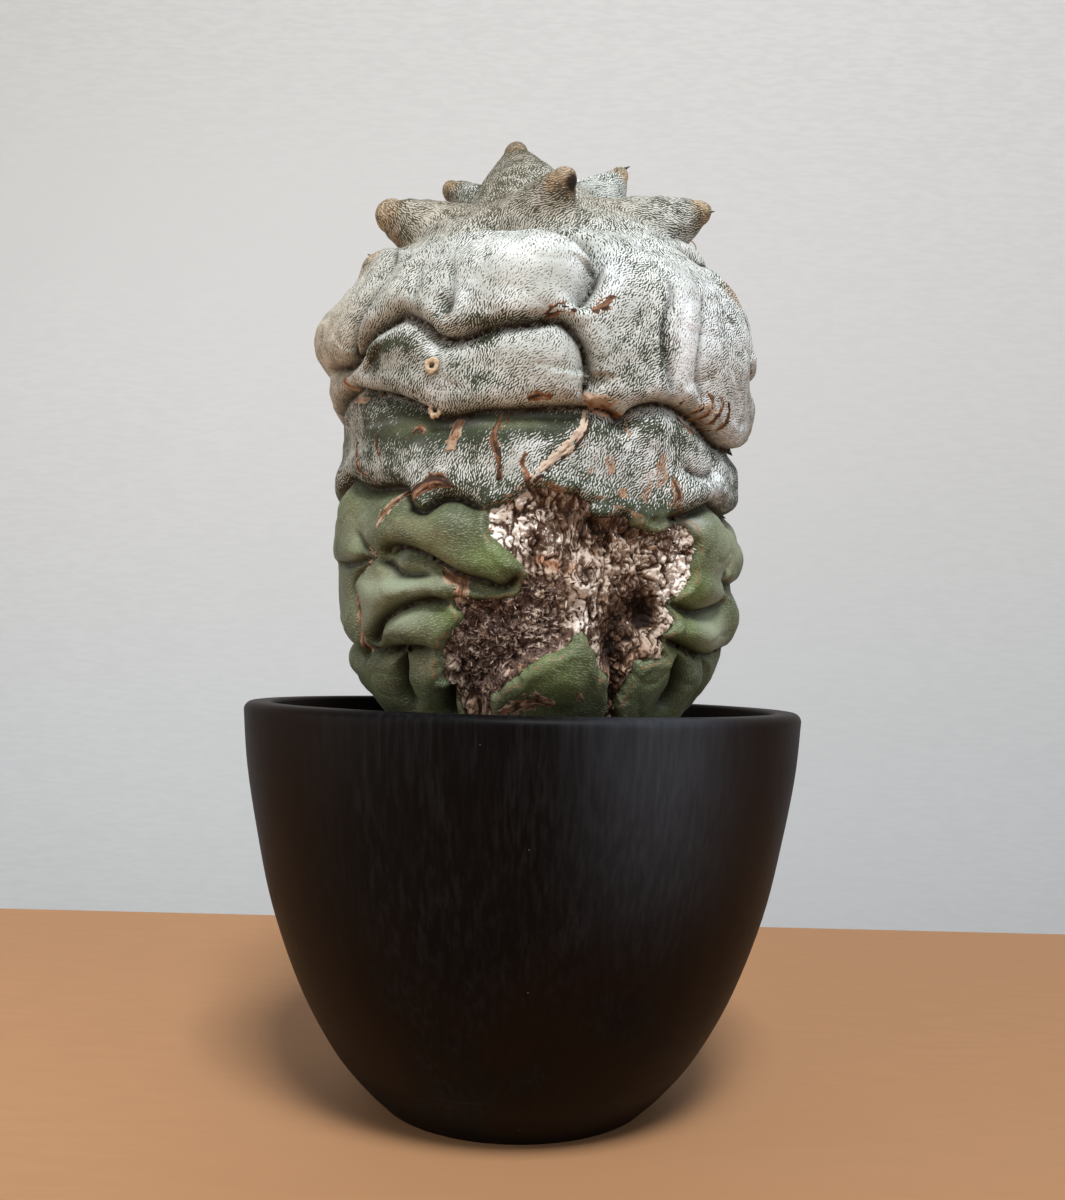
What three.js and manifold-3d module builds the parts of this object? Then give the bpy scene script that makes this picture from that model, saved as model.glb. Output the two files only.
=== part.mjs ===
// A monstrose bishop's cap cactus growing in a round plastic pot.
// Millimetres, +Z up. The origin is the centre of the pot's foot, on the surface it stands on.
// The stem's corky wound faces -Y. Azimuths on the stem are in degrees round its own axis,
// 0 at -Y and growing towards +X, and heights are above the surface that the pot stands on.
import * as THREE from "three";
import { mergeVertices } from "three/addons/utils/BufferGeometryUtils.js";
import Module from "manifold-3d";

const wasm = await Module();
wasm.setup();

// Driving dimensions of the pot
const rimDiameter = 150;
const potHeight = 104.2;
const footDiameter = 73.2;
const wallThickness = 3;
const rimLandWidth = 7;
const rimFlangeDepth = 5;
const lipRadius = 2.2;
const innerLipRadius = 1;
const floorThickness = 4;
const floorRounding = 3;
const footRecessDepth = 1.5;
const footRingWidth = 6;
const drainDiameter = 15;
const potSides = 52;

// Driving dimensions of the soil
const soilGap = 0.35;
const soilAtWall = 94.5;
const soilAtStem = 97;
const soilGrain = 0.7;

// Driving dimensions of the stem
const stemAxisX = 2.5;
const woundSideColumns = 62;
const farSideColumns = 32;
const woundSideHalfAngle = 100;
const rowSpacing = 3.8;
const buriedRows = 4;
const creaseSpread = 1.25;
const hornSides = 9;

// Heights of the rings of the wall's inside, from the floor's rounding to the soil's edge
const innerWallHeights = [7, 13, 22, 34, 48, 64, 80, soilAtWall];

// The outside of the pot from foot to lip, as [radius, height]
const potCurve = [
  [footDiameter / 2, 0.6],
  [42.4, 6.3],
  [49.8, 15.6],
  [58.4, 31.3],
  [66.1, 52.1],
  [70.9, 72.9],
  [73.7, 88.6],
  [rimDiameter / 2, potHeight - lipRadius],
];

// The crest line of the stem from root to crown, as [radius, height]
const stemCurve = [
  [0, 58],
  [14, 61],
  [25, 72],
  [31, 86],
  [36.5, 97],
  [43.5, 105],
  [49.5, 114],
  [52.6, 123],
  [54.2, 134],
  [55.3, 145],
  [54.6, 157],
  [55.2, 170],
  [58, 184],
  [59.4, 197],
  [57.2, 207],
  [53, 214],
  [47.5, 220.5],
  [42.5, 226],
  [36, 233],
  [26, 240],
  [13, 244.5],
  [0, 246],
];

// Creases between the lobes: depth and half width in mm, how far the upper lobe stands out over
// the lower one, and the route as [azimuth, height].
const creases = [
  // under the whorl of horns
  { depth: 4.5, width: 5, lip: -0.8, route: [
    [-60, 221], [-48, 219], [-40, 216], [-34, 218], [-22, 218], [-19, 222], [-15, 221], [-9, 216],
    [4, 216], [10, 214], [14, 210], [12, 205], [9, 202], [7, 197]] },
  { depth: 4, width: 5, lip: 0, route: [
    [46, 222], [62, 219], [84, 222], [108, 218], [134, 221], [160, 218], [188, 222], [214, 218],
    [240, 221], [268, 218], [300, 221]] },
  // between the first and the second tier
  { depth: 4.5, width: 6, lip: 0.9, route: [
    [-73, 192], [-58, 190], [-48, 194], [-36, 198], [-33, 198], [-28, 195], [-25, 192], [-20, 191],
    [-12, 193], [-3, 194], [4, 195], [9, 190], [11, 183], [10, 176]] },
  { depth: 4.5, width: 6, lip: 0.6, route: [
    [66, 196], [82, 193], [104, 197], [128, 193], [150, 196], [176, 192], [200, 195], [224, 191],
    [250, 194], [270, 190], [287, 192]] },
  // round the foot of the second tier, which hangs over the third
  { depth: 4.5, width: 5.5, lip: 1.6, closed: true, route: [
    [-57, 184], [-51, 182], [-39, 179], [-30, 175], [-27, 173], [-22, 173], [-14, 174], [-6, 174],
    [7, 175], [17, 175], [21, 173], [24, 176], [33, 178], [45, 176], [60, 172], [80, 174],
    [102, 178], [126, 175], [152, 179], [178, 175], [204, 179], [230, 175], [256, 179], [280, 182]] },
  // between the third and the fourth tier
  { depth: 4.5, width: 5.5, lip: 0.6, route: [
    [34, 151], [43, 153], [55, 157], [68, 155], [90, 158], [115, 153], [140, 157], [165, 153],
    [190, 158], [215, 154], [240, 158], [265, 155], [285, 161], [293, 163], [304, 159], [319, 158],
    [323, 157], [325, 154], [327, 152], [331, 151], [335, 154], [340, 154], [347, 151]] },
  // under the long tongue on the left, and the lobes below it
  { depth: 6.5, width: 5.5, lip: 1.4, route: [
    [-44, 142], [-39, 143], [-33, 142], [-28, 140], [-20, 136], [-12, 134], [-8, 133], [-4, 136]] },
  { depth: 2.5, width: 4, lip: 0.4, route: [[-45, 140], [-40, 138.5], [-36, 136], [-27, 136]] },
  { depth: 3.5, width: 4, lip: 0.5, route: [[-86, 142], [-68, 140], [-56, 140], [-49, 141]] },
  { depth: 2.5, width: 4, lip: 0, route: [
    [-58, 148], [-52, 144], [-48, 141], [-58, 137], [-60, 133], [-56, 129], [-55, 120], [-60, 115]] },
  { depth: 6, width: 5, lip: 1, route: [
    [-49, 120], [-47, 122], [-44, 125], [-40, 127], [-34, 129], [-28, 130], [-22, 129]] },
  { depth: 5, width: 4.5, lip: 0.8, route: [[-58, 118], [-47, 117], [-40, 118], [-28, 118]] },
  { depth: 3.5, width: 4, lip: 0, route: [[-44, 117], [-45, 110], [-50, 103]] },
  { depth: 6, width: 4, lip: 0, route: [[-31, 100], [-29, 105], [-26, 109]] },
  // between the lobes on the right of the wound
  { depth: 3.5, width: 4, lip: 0, route: [[60, 155], [64, 148], [66, 142], [60, 138]] },
  { depth: 3.5, width: 4, lip: 0.4, route: [[62, 138], [74, 137], [90, 139]] },
  { depth: 4, width: 4.5, lip: 0.6, route: [[37, 131], [49, 129], [57, 130], [70, 133]] },
  { depth: 4.5, width: 4.5, lip: 0.6, route: [[38, 122], [47, 120], [58, 118], [66, 118], [82, 121]] },
  { depth: 5.5, width: 4, lip: 0, route: [[47, 118], [50, 111], [49, 104]] },
  { depth: 3.5, width: 4, lip: 0, route: [[66, 118], [68, 112], [69, 105]] },
  // the two upright folds on the upper right
  { depth: 4.5, width: 4.5, lip: 0, route: [
    [31, 209], [31, 202], [28, 196], [29, 190], [32, 184], [33, 178]] },
  { depth: 2.5, width: 4.5, lip: 0, route: [[46, 206], [42, 197], [41, 191], [45, 185]] },
  { depth: 2, width: 4, lip: 0, route: [[52, 178], [56, 168], [50, 163], [40, 164]] },
  // the lower tiers on the side away from the wound
  { depth: 5, width: 5.5, lip: 0.6, route: [
    [90, 139], [108, 136], [132, 140], [156, 135], [182, 140], [206, 136], [232, 141], [256, 137],
    [274, 142]] },
  { depth: 5, width: 5, lip: 0.6, route: [
    [82, 121], [104, 117], [130, 121], [154, 118], [180, 122], [206, 117], [232, 121], [258, 118],
    [284, 121], [300, 116]] },
  // upright folds that split those tiers into lobes
  { depth: 3.5, width: 4.5, lip: 0, route: [[76, 221], [72, 212], [74, 203], [70, 196]] },
  { depth: 3.5, width: 4.5, lip: 0, route: [[112, 219], [116, 210], [110, 202], [113, 195]] },
  { depth: 4, width: 4.5, lip: 0, route: [[152, 219], [149, 210], [154, 202], [150, 196]] },
  { depth: 3.5, width: 4.5, lip: 0, route: [[196, 221], [200, 212], [195, 204], [198, 195]] },
  { depth: 4, width: 4.5, lip: 0, route: [[236, 220], [232, 212], [238, 202], [235, 192]] },
  { depth: 3, width: 4.5, lip: 0, route: [[270, 218], [273, 209], [268, 200], [271, 190]] },
  { depth: 3, width: 4.5, lip: 0, route: [[94, 195], [90, 187], [95, 177]] },
  { depth: 3.5, width: 4.5, lip: 0, route: [[134, 194], [138, 186], [132, 176]] },
  { depth: 3, width: 4.5, lip: 0, route: [[172, 193], [168, 185], [173, 176]] },
  { depth: 3.5, width: 4.5, lip: 0, route: [[214, 193], [218, 186], [212, 178]] },
  { depth: 3, width: 4.5, lip: 0, route: [[258, 192], [262, 186], [256, 179]] },
  { depth: 3, width: 4.5, lip: 0, route: [[86, 175], [90, 166], [84, 157]] },
  { depth: 3, width: 4.5, lip: 0, route: [[144, 178], [141, 168], [146, 156]] },
  { depth: 3, width: 4.5, lip: 0, route: [[200, 178], [205, 168], [199, 156]] },
  { depth: 3, width: 4.5, lip: 0, route: [[248, 178], [244, 168], [250, 157]] },
  { depth: 4, width: 4.5, lip: 0, route: [[104, 155], [100, 147], [106, 137]] },
  { depth: 4, width: 4.5, lip: 0, route: [[158, 154], [162, 146], [157, 136]] },
  { depth: 4, width: 4.5, lip: 0, route: [[210, 155], [206, 147], [211, 137]] },
  { depth: 4, width: 4.5, lip: 0, route: [[256, 156], [260, 148], [255, 138]] },
  { depth: 4, width: 4.5, lip: 0, route: [[124, 139], [128, 130], [123, 120]] },
  { depth: 4, width: 4.5, lip: 0, route: [[186, 139], [182, 130], [187, 121]] },
  { depth: 4, width: 4.5, lip: 0, route: [[236, 140], [240, 130], [234, 120]] },
  { depth: 4.5, width: 4.5, lip: 0, route: [[96, 119], [92, 111], [97, 102]] },
  { depth: 4.5, width: 4.5, lip: 0, route: [[140, 120], [144, 111], [138, 102]] },
  { depth: 4.5, width: 4.5, lip: 0, route: [[178, 121], [174, 112], [180, 102]] },
  { depth: 4.5, width: 4.5, lip: 0, route: [[218, 118], [222, 110], [216, 102]] },
  { depth: 4.5, width: 4.5, lip: 0, route: [[262, 118], [258, 110], [264, 102]] },
];

// Broad swells and hollows: centre, half sizes (degrees by mm) and rise
const swells = [
  { azimuth: -78, height: 205, wide: 20, tall: 9, rise: 3.2 },
  { azimuth: -62, height: 199, wide: 9, tall: 9, rise: 1.2 },
  { azimuth: -35, height: 208, wide: 6, tall: 9, rise: 1.6 },
  { azimuth: -1, height: 206, wide: 12, tall: 7, rise: 1.8 },
  { azimuth: -22, height: 197.5, wide: 3.5, tall: 4, rise: -3.5 },
  { azimuth: -44, height: 192, wide: 5, tall: 4, rise: 1.2 },
  { azimuth: -42, height: 186, wide: 8, tall: 4, rise: -1.2 },
  { azimuth: 0, height: 186, wide: 9, tall: 7, rise: 1.8 },
  { azimuth: -16, height: 184, wide: 4, tall: 8, rise: -1.4 },
  { azimuth: 37, height: 194, wide: 5, tall: 14, rise: 1.4 },
  { azimuth: 60, height: 194, wide: 15, tall: 15, rise: 2.8 },
  { azimuth: 88, height: 190, wide: 14, tall: 12, rise: 1.8 },
  { azimuth: 45, height: 157, wide: 10, tall: 6, rise: 1.4 },
  { azimuth: -70, height: 173, wide: 16, tall: 6, rise: -2.6 },
  { azimuth: -28, height: 148, wide: 18, tall: 6, rise: 2.4 },
  { azimuth: -9, height: 139, wide: 7, tall: 5, rise: 2.2 },
  { azimuth: -36, height: 132, wide: 12, tall: 4, rise: 2.2 },
  { azimuth: -72, height: 132, wide: 12, tall: 7, rise: -1 },
  { azimuth: -35, height: 123.5, wide: 10, tall: 4, rise: 2.4 },
  { azimuth: -62, height: 122, wide: 14, tall: 7, rise: 1.2 },
  { azimuth: -36, height: 110, wide: 8, tall: 5, rise: 2 },
  { azimuth: 8, height: 112, wide: 12, tall: 6, rise: 2.2 },
  { azimuth: 54, height: 145, wide: 9, tall: 6, rise: 1.6 },
  { azimuth: 82, height: 145, wide: 9, tall: 5, rise: 2.2 },
  { azimuth: 52, height: 135, wide: 9, tall: 4, rise: 2 },
  { azimuth: 86, height: 129, wide: 14, tall: 6, rise: 2.4 },
  { azimuth: 55, height: 124, wide: 12, tall: 3.5, rise: 2 },
  { azimuth: 58, height: 112, wide: 7, tall: 5, rise: 1.8 },
  { azimuth: 38, height: 110, wide: 5, tall: 5, rise: 1.5 },
  { azimuth: 120, height: 205, wide: 16, tall: 9, rise: 1.5 },
  { azimuth: 175, height: 184, wide: 18, tall: 8, rise: 1.6 },
  { azimuth: 225, height: 147, wide: 16, tall: 7, rise: 1.8 },
  { azimuth: 150, height: 129, wide: 14, tall: 6, rise: 1.6 },
  { azimuth: 255, height: 204, wide: 14, tall: 9, rise: 1.6 },
  { azimuth: -6, height: 225, wide: 30, tall: 6, rise: -5 },
  { azimuth: -66, height: 222, wide: 16, tall: 6, rise: 2.5 },
  { azimuth: 56, height: 224, wide: 16, tall: 6, rise: 2.5 },
];

// The wound: its outline as [azimuth, height], and how deep the cork lies below the skin
const woundDepth = 3.4;
const woundBank = 4.5;
const woundReach = 70;
const woundTop = 165;
const woundOutline = [
  [-13, 151], [-11, 142], [-7, 140], [-5, 137], [-7, 133], [-17, 134], [-23, 132], [-20, 126],
  [-25, 120], [-28, 114], [-26, 107], [-24, 98], [-16, 98], [-14, 106], [-9, 108], [-3, 113],
  [3, 117], [10, 120], [13, 122], [17, 116], [21, 112], [24, 106], [26, 98], [31, 98], [29, 109],
  [31, 116], [41, 117], [38, 122], [41, 127], [38, 131], [45, 138], [45, 143], [43, 151],
  [34, 150], [25, 149], [17, 152], [8, 153], [1, 156], [-5, 154],
];

// Hollows and knobs inside the wound
const woundRelief = [
  { azimuth: 29.5, height: 129, wide: 5.5, tall: 7, rise: -6 },
  { azimuth: -14, height: 127, wide: 8, tall: 5, rise: -2.2 },
  { azimuth: -12, height: 117, wide: 9, tall: 5, rise: -1.4 },
  { azimuth: 10, height: 136, wide: 7, tall: 5, rise: 1.6 },
  { azimuth: 17, height: 143, wide: 8, tall: 5, rise: -1.2 },
  { azimuth: 37, height: 141, wide: 5, tall: 6, rise: 1.8 },
  { azimuth: 37, height: 120, wide: 3.5, tall: 3, rise: 2.6 },
  { azimuth: 22, height: 118, wide: 3, tall: 7, rise: -2 },
];
const lumpCount = 70;
const lumpSeed = 20261;

// Horns of the whorl: root, knee and tip in mm, the radii at both ends, and how quickly the
// foot of the horn flares out
const horns = [
  { root: [-8, -12, 224], knee: [-26, -13, 234], tip: [-39.2, -12, 237.6], foot: 14, end: 5, flare: 1 },
  { root: [-10, 4, 238], knee: [-18, 14, 249], tip: [-26, 20, 255.4], foot: 9, end: 3.6, flare: 1 },
  { root: [-1, 2, 238], knee: [-5, 3, 250], tip: [-7.2, 4, 262.6], foot: 18, end: 2.9, flare: 1.6 },
  { root: [0, -25, 212], knee: [3, -32, 225], tip: [8, -35, 236.6], foot: 23, end: 3.4, flare: 1.15 },
  { root: [12, 4, 238], knee: [20, 8, 249], tip: [24.4, 11, 258.6], foot: 14, end: 2.8, flare: 1.5 },
  { root: [12, -12, 224], knee: [30, -13, 236], tip: [44.5, -12, 239.2], foot: 15, end: 4.2, flare: 1 },
  { root: [38, -20, 226], knee: [49, -24, 221], tip: [51.6, -26, 212.5], foot: 6.5, end: 2.9, flare: 1 },
  { root: [-30, -18, 222], knee: [-40, -24, 220], tip: [-45, -28, 213.5], foot: 7, end: 3, flare: 1 },
  { root: [-2, 14, 226], knee: [-8, 30, 238], tip: [-12, 37, 246], foot: 16, end: 3.2, flare: 1.4 },
  { root: [14, 14, 226], knee: [28, 28, 238], tip: [33, 36, 240], foot: 13, end: 4, flare: 1 },
  { root: [-18, 12, 224], knee: [-32, 28, 235], tip: [-38, 34, 235], foot: 12, end: 4, flare: 1 },
  { root: [4, 8, 240], knee: [8, 14, 248], tip: [9, 19, 253], foot: 9, end: 2.8, flare: 1.4 },
  { root: [30, 30, 220], knee: [38, 37, 221], tip: [42, 41, 213], foot: 7, end: 3, flare: 1 },
];

// Working precision
const curveSteps = 600;
const routeSteps = 4;
const mergeTolerance = 1e-4;
const apexMargin = 0.5;

const radians = Math.PI / 180;

// A number in [0, 1) from a seeded stream.
function seededStream(seed) {
  let state = seed >>> 0;
  return () => {
    state = (state + 0x6d2b79f5) >>> 0;
    let mixed = Math.imul(state ^ (state >>> 15), state | 1);
    mixed ^= mixed + Math.imul(mixed ^ (mixed >>> 7), mixed | 61);
    return ((mixed ^ (mixed >>> 14)) >>> 0) / 4294967296;
  };
}

// An azimuth difference brought into -180 to 180 degrees.
function wrapDegrees(angle) {
  return angle - 360 * Math.round(angle / 360);
}

// A smooth curve through [x, y] pairs, sampled evenly along its length.
function sampleCurve(pairs, steps) {
  const curve = new THREE.SplineCurve(pairs.map(([x, y]) => new THREE.Vector2(x, y)));
  curve.arcLengthDivisions = steps * 4;
  return curve.getSpacedPoints(steps);
}

// A closed solid from shared vertices and triangles.
function solidFromGeometry(geometry) {
  const bare = geometry.clone();
  bare.deleteAttribute("normal");
  bare.deleteAttribute("uv");
  const merged = mergeVertices(bare, mergeTolerance);
  return new wasm.Manifold(
    new wasm.Mesh({
      numProp: 3,
      vertProperties: new Float32Array(merged.attributes.position.array),
      triVerts: new Uint32Array(merged.index.array),
    }),
  );
}

// A three.js geometry from a solid.
function geometryFromSolid(solid) {
  const mesh = solid.getMesh();
  const geometry = new THREE.BufferGeometry();
  const positions = new Float32Array(mesh.numVert * 3);
  for (let i = 0; i < mesh.numVert; i++) {
    const start = i * mesh.numProp;
    positions.set(mesh.vertProperties.subarray(start, start + 3), i * 3);
  }
  geometry.setAttribute("position", new THREE.BufferAttribute(positions, 3));
  geometry.setIndex(new THREE.BufferAttribute(new Uint32Array(mesh.triVerts), 1));
  geometry.computeVertexNormals();
  return geometry;
}

// A closed skin over stacked rings, each a list of points, between two end points.
function ringSkin(firstPoint, rings, lastPoint) {
  const points = [firstPoint, ...rings.flat(), lastPoint];
  const sides = rings[0].length;
  const index = [];
  const at = (ring, side) => 1 + ring * sides + (side % sides);
  for (let side = 0; side < sides; side++) {
    index.push(0, at(0, side + 1), at(0, side));
    for (let ring = 0; ring < rings.length - 1; ring++) {
      const a = at(ring, side);
      const b = at(ring, side + 1);
      const c = at(ring + 1, side + 1);
      const d = at(ring + 1, side);
      const alongAC = points[a].distanceToSquared(points[c]) <= points[b].distanceToSquared(points[d]);
      index.push(...(alongAC ? [a, b, c, a, c, d] : [a, b, d, b, c, d]));
    }
    index.push(points.length - 1, at(rings.length - 1, side), at(rings.length - 1, side + 1));
  }
  const geometry = new THREE.BufferGeometry();
  const coordinates = points.flatMap((point) => point.toArray());
  geometry.setAttribute("position", new THREE.Float32BufferAttribute(coordinates, 3));
  geometry.setIndex(index);
  return geometry;
}

// Points of a rounded corner as [radius, height], from one angle to another in degrees.
function corner(centreRadius, centreHeight, radius, fromAngle, toAngle, steps) {
  return Array.from({ length: steps + 1 }, (_, i) => {
    const angle = (fromAngle + ((toAngle - fromAngle) * i) / steps) * radians;
    return [centreRadius + radius * Math.cos(angle), centreHeight + radius * Math.sin(angle)];
  });
}

// The pot's outer wall below the lip, foot first.
function potOutside() {
  return sampleCurve(potCurve, 9).map((p) => [p.x, p.y]);
}

// The radius of the inside of the wall at a height.
function potInnerRadius(height) {
  const outside = potOutside();
  const upper = outside.findIndex(([, h]) => h >= height);
  const [r0, h0] = outside[upper - 1];
  const [r1, h1] = outside[upper];
  return r0 + ((r1 - r0) * (height - h0)) / (h1 - h0) - wallThickness;
}

function makePotGeometry() {
  const rimRadius = rimDiameter / 2;
  const landInner = rimRadius - rimLandWidth;
  const footRadius = footDiameter / 2;
  const recessRadius = footRadius - footRingWidth;
  const drainRadius = drainDiameter / 2;
  const flangeBottom = potHeight - rimFlangeDepth;
  const floorRadius = potInnerRadius(innerWallHeights[0]) - floorRounding;
  const profile = [
    [drainRadius, footRecessDepth],
    [recessRadius, footRecessDepth],
    [recessRadius + footRecessDepth, 0],
    [footRadius - 0.6, 0],
    ...potOutside().slice(0, -1),
    ...corner(rimRadius - lipRadius, potHeight - lipRadius, lipRadius, 0, 90, 3),
    ...corner(landInner + innerLipRadius, potHeight - innerLipRadius, innerLipRadius, 90, 180, 2),
    [landInner, flangeBottom],
    [potInnerRadius(flangeBottom - wallThickness), flangeBottom - wallThickness],
    ...innerWallHeights.map((height) => [potInnerRadius(height), height]).reverse(),
    [floorRadius, floorThickness],
    [drainRadius, floorThickness],
    [drainRadius, footRecessDepth],
  ];
  const outline = profile.map(([radius, height]) => new THREE.Vector2(radius, height));
  return new THREE.LatheGeometry(outline, potSides).rotateX(Math.PI / 2);
}

// The crest line of the stem with its length from the root and its outward normal.
function sampleStemCurve() {
  const points = sampleCurve(stemCurve, curveSteps);
  let along = 0;
  return points.map((point, i) => {
    const before = points[Math.max(i - 1, 0)];
    const after = points[Math.min(i + 1, curveSteps)];
    const tangent = after.clone().sub(before).normalize();
    if (i > 0) along += point.distanceTo(before);
    const normal = new THREE.Vector2(tangent.y, -tangent.x);
    return { radius: Math.max(point.x, 0), height: point.y, along, normal };
  });
}

const stemCrest = sampleStemCurve();

// The sample of the crest line nearest below a value of one of its rising quantities.
function crestAt(quantity, value) {
  let low = 0;
  let high = stemCrest.length - 1;
  while (high - low > 1) {
    const middle = (low + high) >> 1;
    if (stemCrest[middle][quantity] <= value) low = middle;
    else high = middle;
  }
  return stemCrest[low];
}

// A crease's route as a smooth chain of { azimuth, along } points.
function smoothRoute(route, closed) {
  const pairs = closed ? [...route, [route[0][0] + 360, route[0][1]]] : route;
  const curve = new THREE.SplineCurve(
    pairs.map(([azimuth, height]) => new THREE.Vector2(azimuth, crestAt("height", height).along)),
  );
  return curve.getPoints((pairs.length - 1) * routeSteps);
}

const creaseChains = creases.map((crease) => ({
  ...crease,
  chain: smoothRoute(crease.route, crease.closed ?? false),
}));

// The closest point of a chain to a point of the skin: its distance in mm, whether the skin
// point is above it, and how far it is from the chain's nearer end.
function nearestOnChain(chain, azimuth, along, radius) {
  const mmPerDegree = radius * radians;
  let best = { distance: Infinity, above: 0, toEnd: 0 };
  for (let i = 0; i < chain.length - 1; i++) {
    const ax = wrapDegrees(chain[i].x - azimuth) * mmPerDegree;
    const bx = ax + (chain[i + 1].x - chain[i].x) * mmPerDegree;
    const ay = chain[i].y - along;
    const by = chain[i + 1].y - along;
    const length2 = (bx - ax) ** 2 + (by - ay) ** 2;
    const share = THREE.MathUtils.clamp(-(ax * (bx - ax) + ay * (by - ay)) / length2, 0, 1);
    const x = ax + share * (bx - ax);
    const y = ay + share * (by - ay);
    const distance = Math.hypot(x, y);
    if (distance < best.distance) {
      const toEnd = Math.min(i + share, chain.length - 1 - i - share);
      best = { distance, above: -Math.sign(y), toEnd };
    }
  }
  return best;
}

// How far the creases pull the skin in, and how far their lips push it out.
function creaseOffset(azimuth, along, radius) {
  const swellReach = 2.5;
  const lipReach = 11;
  let groove = 0;
  let lips = 0;
  for (const crease of creaseChains) {
    const near = nearestOnChain(crease.chain, azimuth, along, radius);
    const fade = crease.closed ? 1 : THREE.MathUtils.smoothstep(near.toEnd, -1, 2.5);
    const narrow = Math.max(1 - near.distance / (crease.width * creaseSpread), 0) ** 1.6;
    const broad = Math.max(1 - near.distance / (crease.width * swellReach), 0) ** 2;
    groove = Math.max(groove, fade * crease.depth * (0.55 * narrow + 0.45 * broad));
    lips += fade * crease.lip * near.above * Math.max(1 - near.distance / lipReach, 0) ** 2;
  }
  return lips - groove;
}

// The sum of a list of soft swells.
function swellOffset(list, azimuth, height) {
  return list.reduce((sum, swell) => {
    const across = wrapDegrees(azimuth - swell.azimuth) / swell.wide;
    const up = (height - swell.height) / swell.tall;
    return sum + swell.rise * Math.exp(-(across ** 2) - up ** 2);
  }, 0);
}

// Distance in mm into the wound's outline, negative outside it.
function depthInWound(azimuth, height, radius) {
  const mmPerDegree = radius * radians;
  let inside = false;
  let nearest = Infinity;
  for (let i = 0; i < woundOutline.length; i++) {
    const [a0, h0] = woundOutline[i];
    const [a1, h1] = woundOutline[(i + 1) % woundOutline.length];
    const ax = wrapDegrees(a0 - azimuth) * mmPerDegree;
    const bx = ax + (a1 - a0) * mmPerDegree;
    const ay = h0 - height;
    const by = h1 - height;
    if (ay > 0 !== by > 0 && ax + ((bx - ax) * -ay) / (by - ay) > 0) inside = !inside;
    const length2 = (bx - ax) ** 2 + (by - ay) ** 2;
    const share = THREE.MathUtils.clamp(-(ax * (bx - ax) + ay * (by - ay)) / length2, 0, 1);
    nearest = Math.min(nearest, Math.hypot(ax + share * (bx - ax), ay + share * (by - ay)));
  }
  return inside ? nearest : -nearest;
}

// Small lumps of cork scattered over the wound.
function makeLumps() {
  const random = seededStream(lumpSeed);
  return Array.from({ length: lumpCount }, () => ({
    azimuth: -26 + 72 * random(),
    height: 100 + 55 * random(),
    wide: 3.4 + 1.8 * random(),
    tall: 3.2 + 1.6 * random(),
    rise: -1 + 2.2 * random(),
  }));
}

const lumps = makeLumps();

// A slow waviness of the whole stem, so that no two lobes are alike.
function waviness(azimuth, height) {
  const a = azimuth * radians;
  const slow = 0.5 * Math.sin(2 * a + height / 13);
  const middle = 0.4 * Math.sin(5 * a - height / 9 + 1.3);
  const quick = 0.3 * Math.sin(9 * a + height / 6);
  return slow + middle + quick;
}

// How far the skin stands out from the crest line at an azimuth, at one sample of that line.
function skinOffset(azimuth, crest) {
  const { radius, height, along } = crest;
  const rooted = THREE.MathUtils.smoothstep(height, soilAtStem, soilAtStem + 5);
  const offApex = THREE.MathUtils.smoothstep(radius, 0, 24);
  const wrapped = wrapDegrees(azimuth);
  const swell = swellOffset(swells, azimuth, height);
  const skin = creaseOffset(azimuth, along, radius) + swell + waviness(azimuth, height);
  const nearWound = Math.abs(wrapped) < woundReach && height < woundTop;
  const depth = nearWound ? depthInWound(wrapped, height, radius) : -1;
  const wounded = THREE.MathUtils.smoothstep(depth, 0, woundBank);
  const relief = swellOffset(woundRelief, azimuth, height) + swellOffset(lumps, azimuth, height);
  const cork = 0.3 * swell - woundDepth + relief;
  return rooted * offApex * THREE.MathUtils.lerp(skin, cork, wounded);
}

// A point of the stem's skin.
function skinPoint(azimuth, crest) {
  const offset = skinOffset(azimuth, crest);
  const radius = crest.radius + crest.normal.x * offset;
  const height = crest.height + crest.normal.y * offset;
  const angle = azimuth * radians;
  return new THREE.Vector3(stemAxisX + radius * Math.sin(angle), -radius * Math.cos(angle), height);
}

// The samples of the crest line that carry the rows of the stem's skin.
function stemRows() {
  const soilLine = crestAt("height", soilAtStem).along;
  const end = stemCrest.at(-1).along - rowSpacing;
  const upperCount = Math.round((end - soilLine) / rowSpacing);
  const buried = Array.from({ length: buriedRows }, (_, i) => (soilLine * (i + 0.7)) / buriedRows);
  const step = (end - soilLine) / upperCount;
  const upper = Array.from({ length: upperCount + 1 }, (_, i) => soilLine + step * i);
  return [...buried, ...upper].map((along) => crestAt("along", along));
}

// The azimuths of the skin's columns, closer together on the wound's side.
function stemAzimuths() {
  const near = Array.from(
    { length: woundSideColumns },
    (_, i) => woundSideHalfAngle * ((2 * i) / woundSideColumns - 1),
  );
  const farAngle = 360 - 2 * woundSideHalfAngle;
  const far = Array.from(
    { length: farSideColumns },
    (_, i) => woundSideHalfAngle + (farAngle * i) / farSideColumns,
  );
  return [...near, ...far];
}

function makeBodyGeometry() {
  const azimuths = stemAzimuths();
  const rings = stemRows().map((crest) => azimuths.map((azimuth) => skinPoint(azimuth, crest)));
  const root = new THREE.Vector3(stemAxisX, 0, stemCrest[0].height);
  const apex = new THREE.Vector3(stemAxisX, 0, stemCrest.at(-1).height - apexMargin);
  return ringSkin(root, rings, apex);
}

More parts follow.
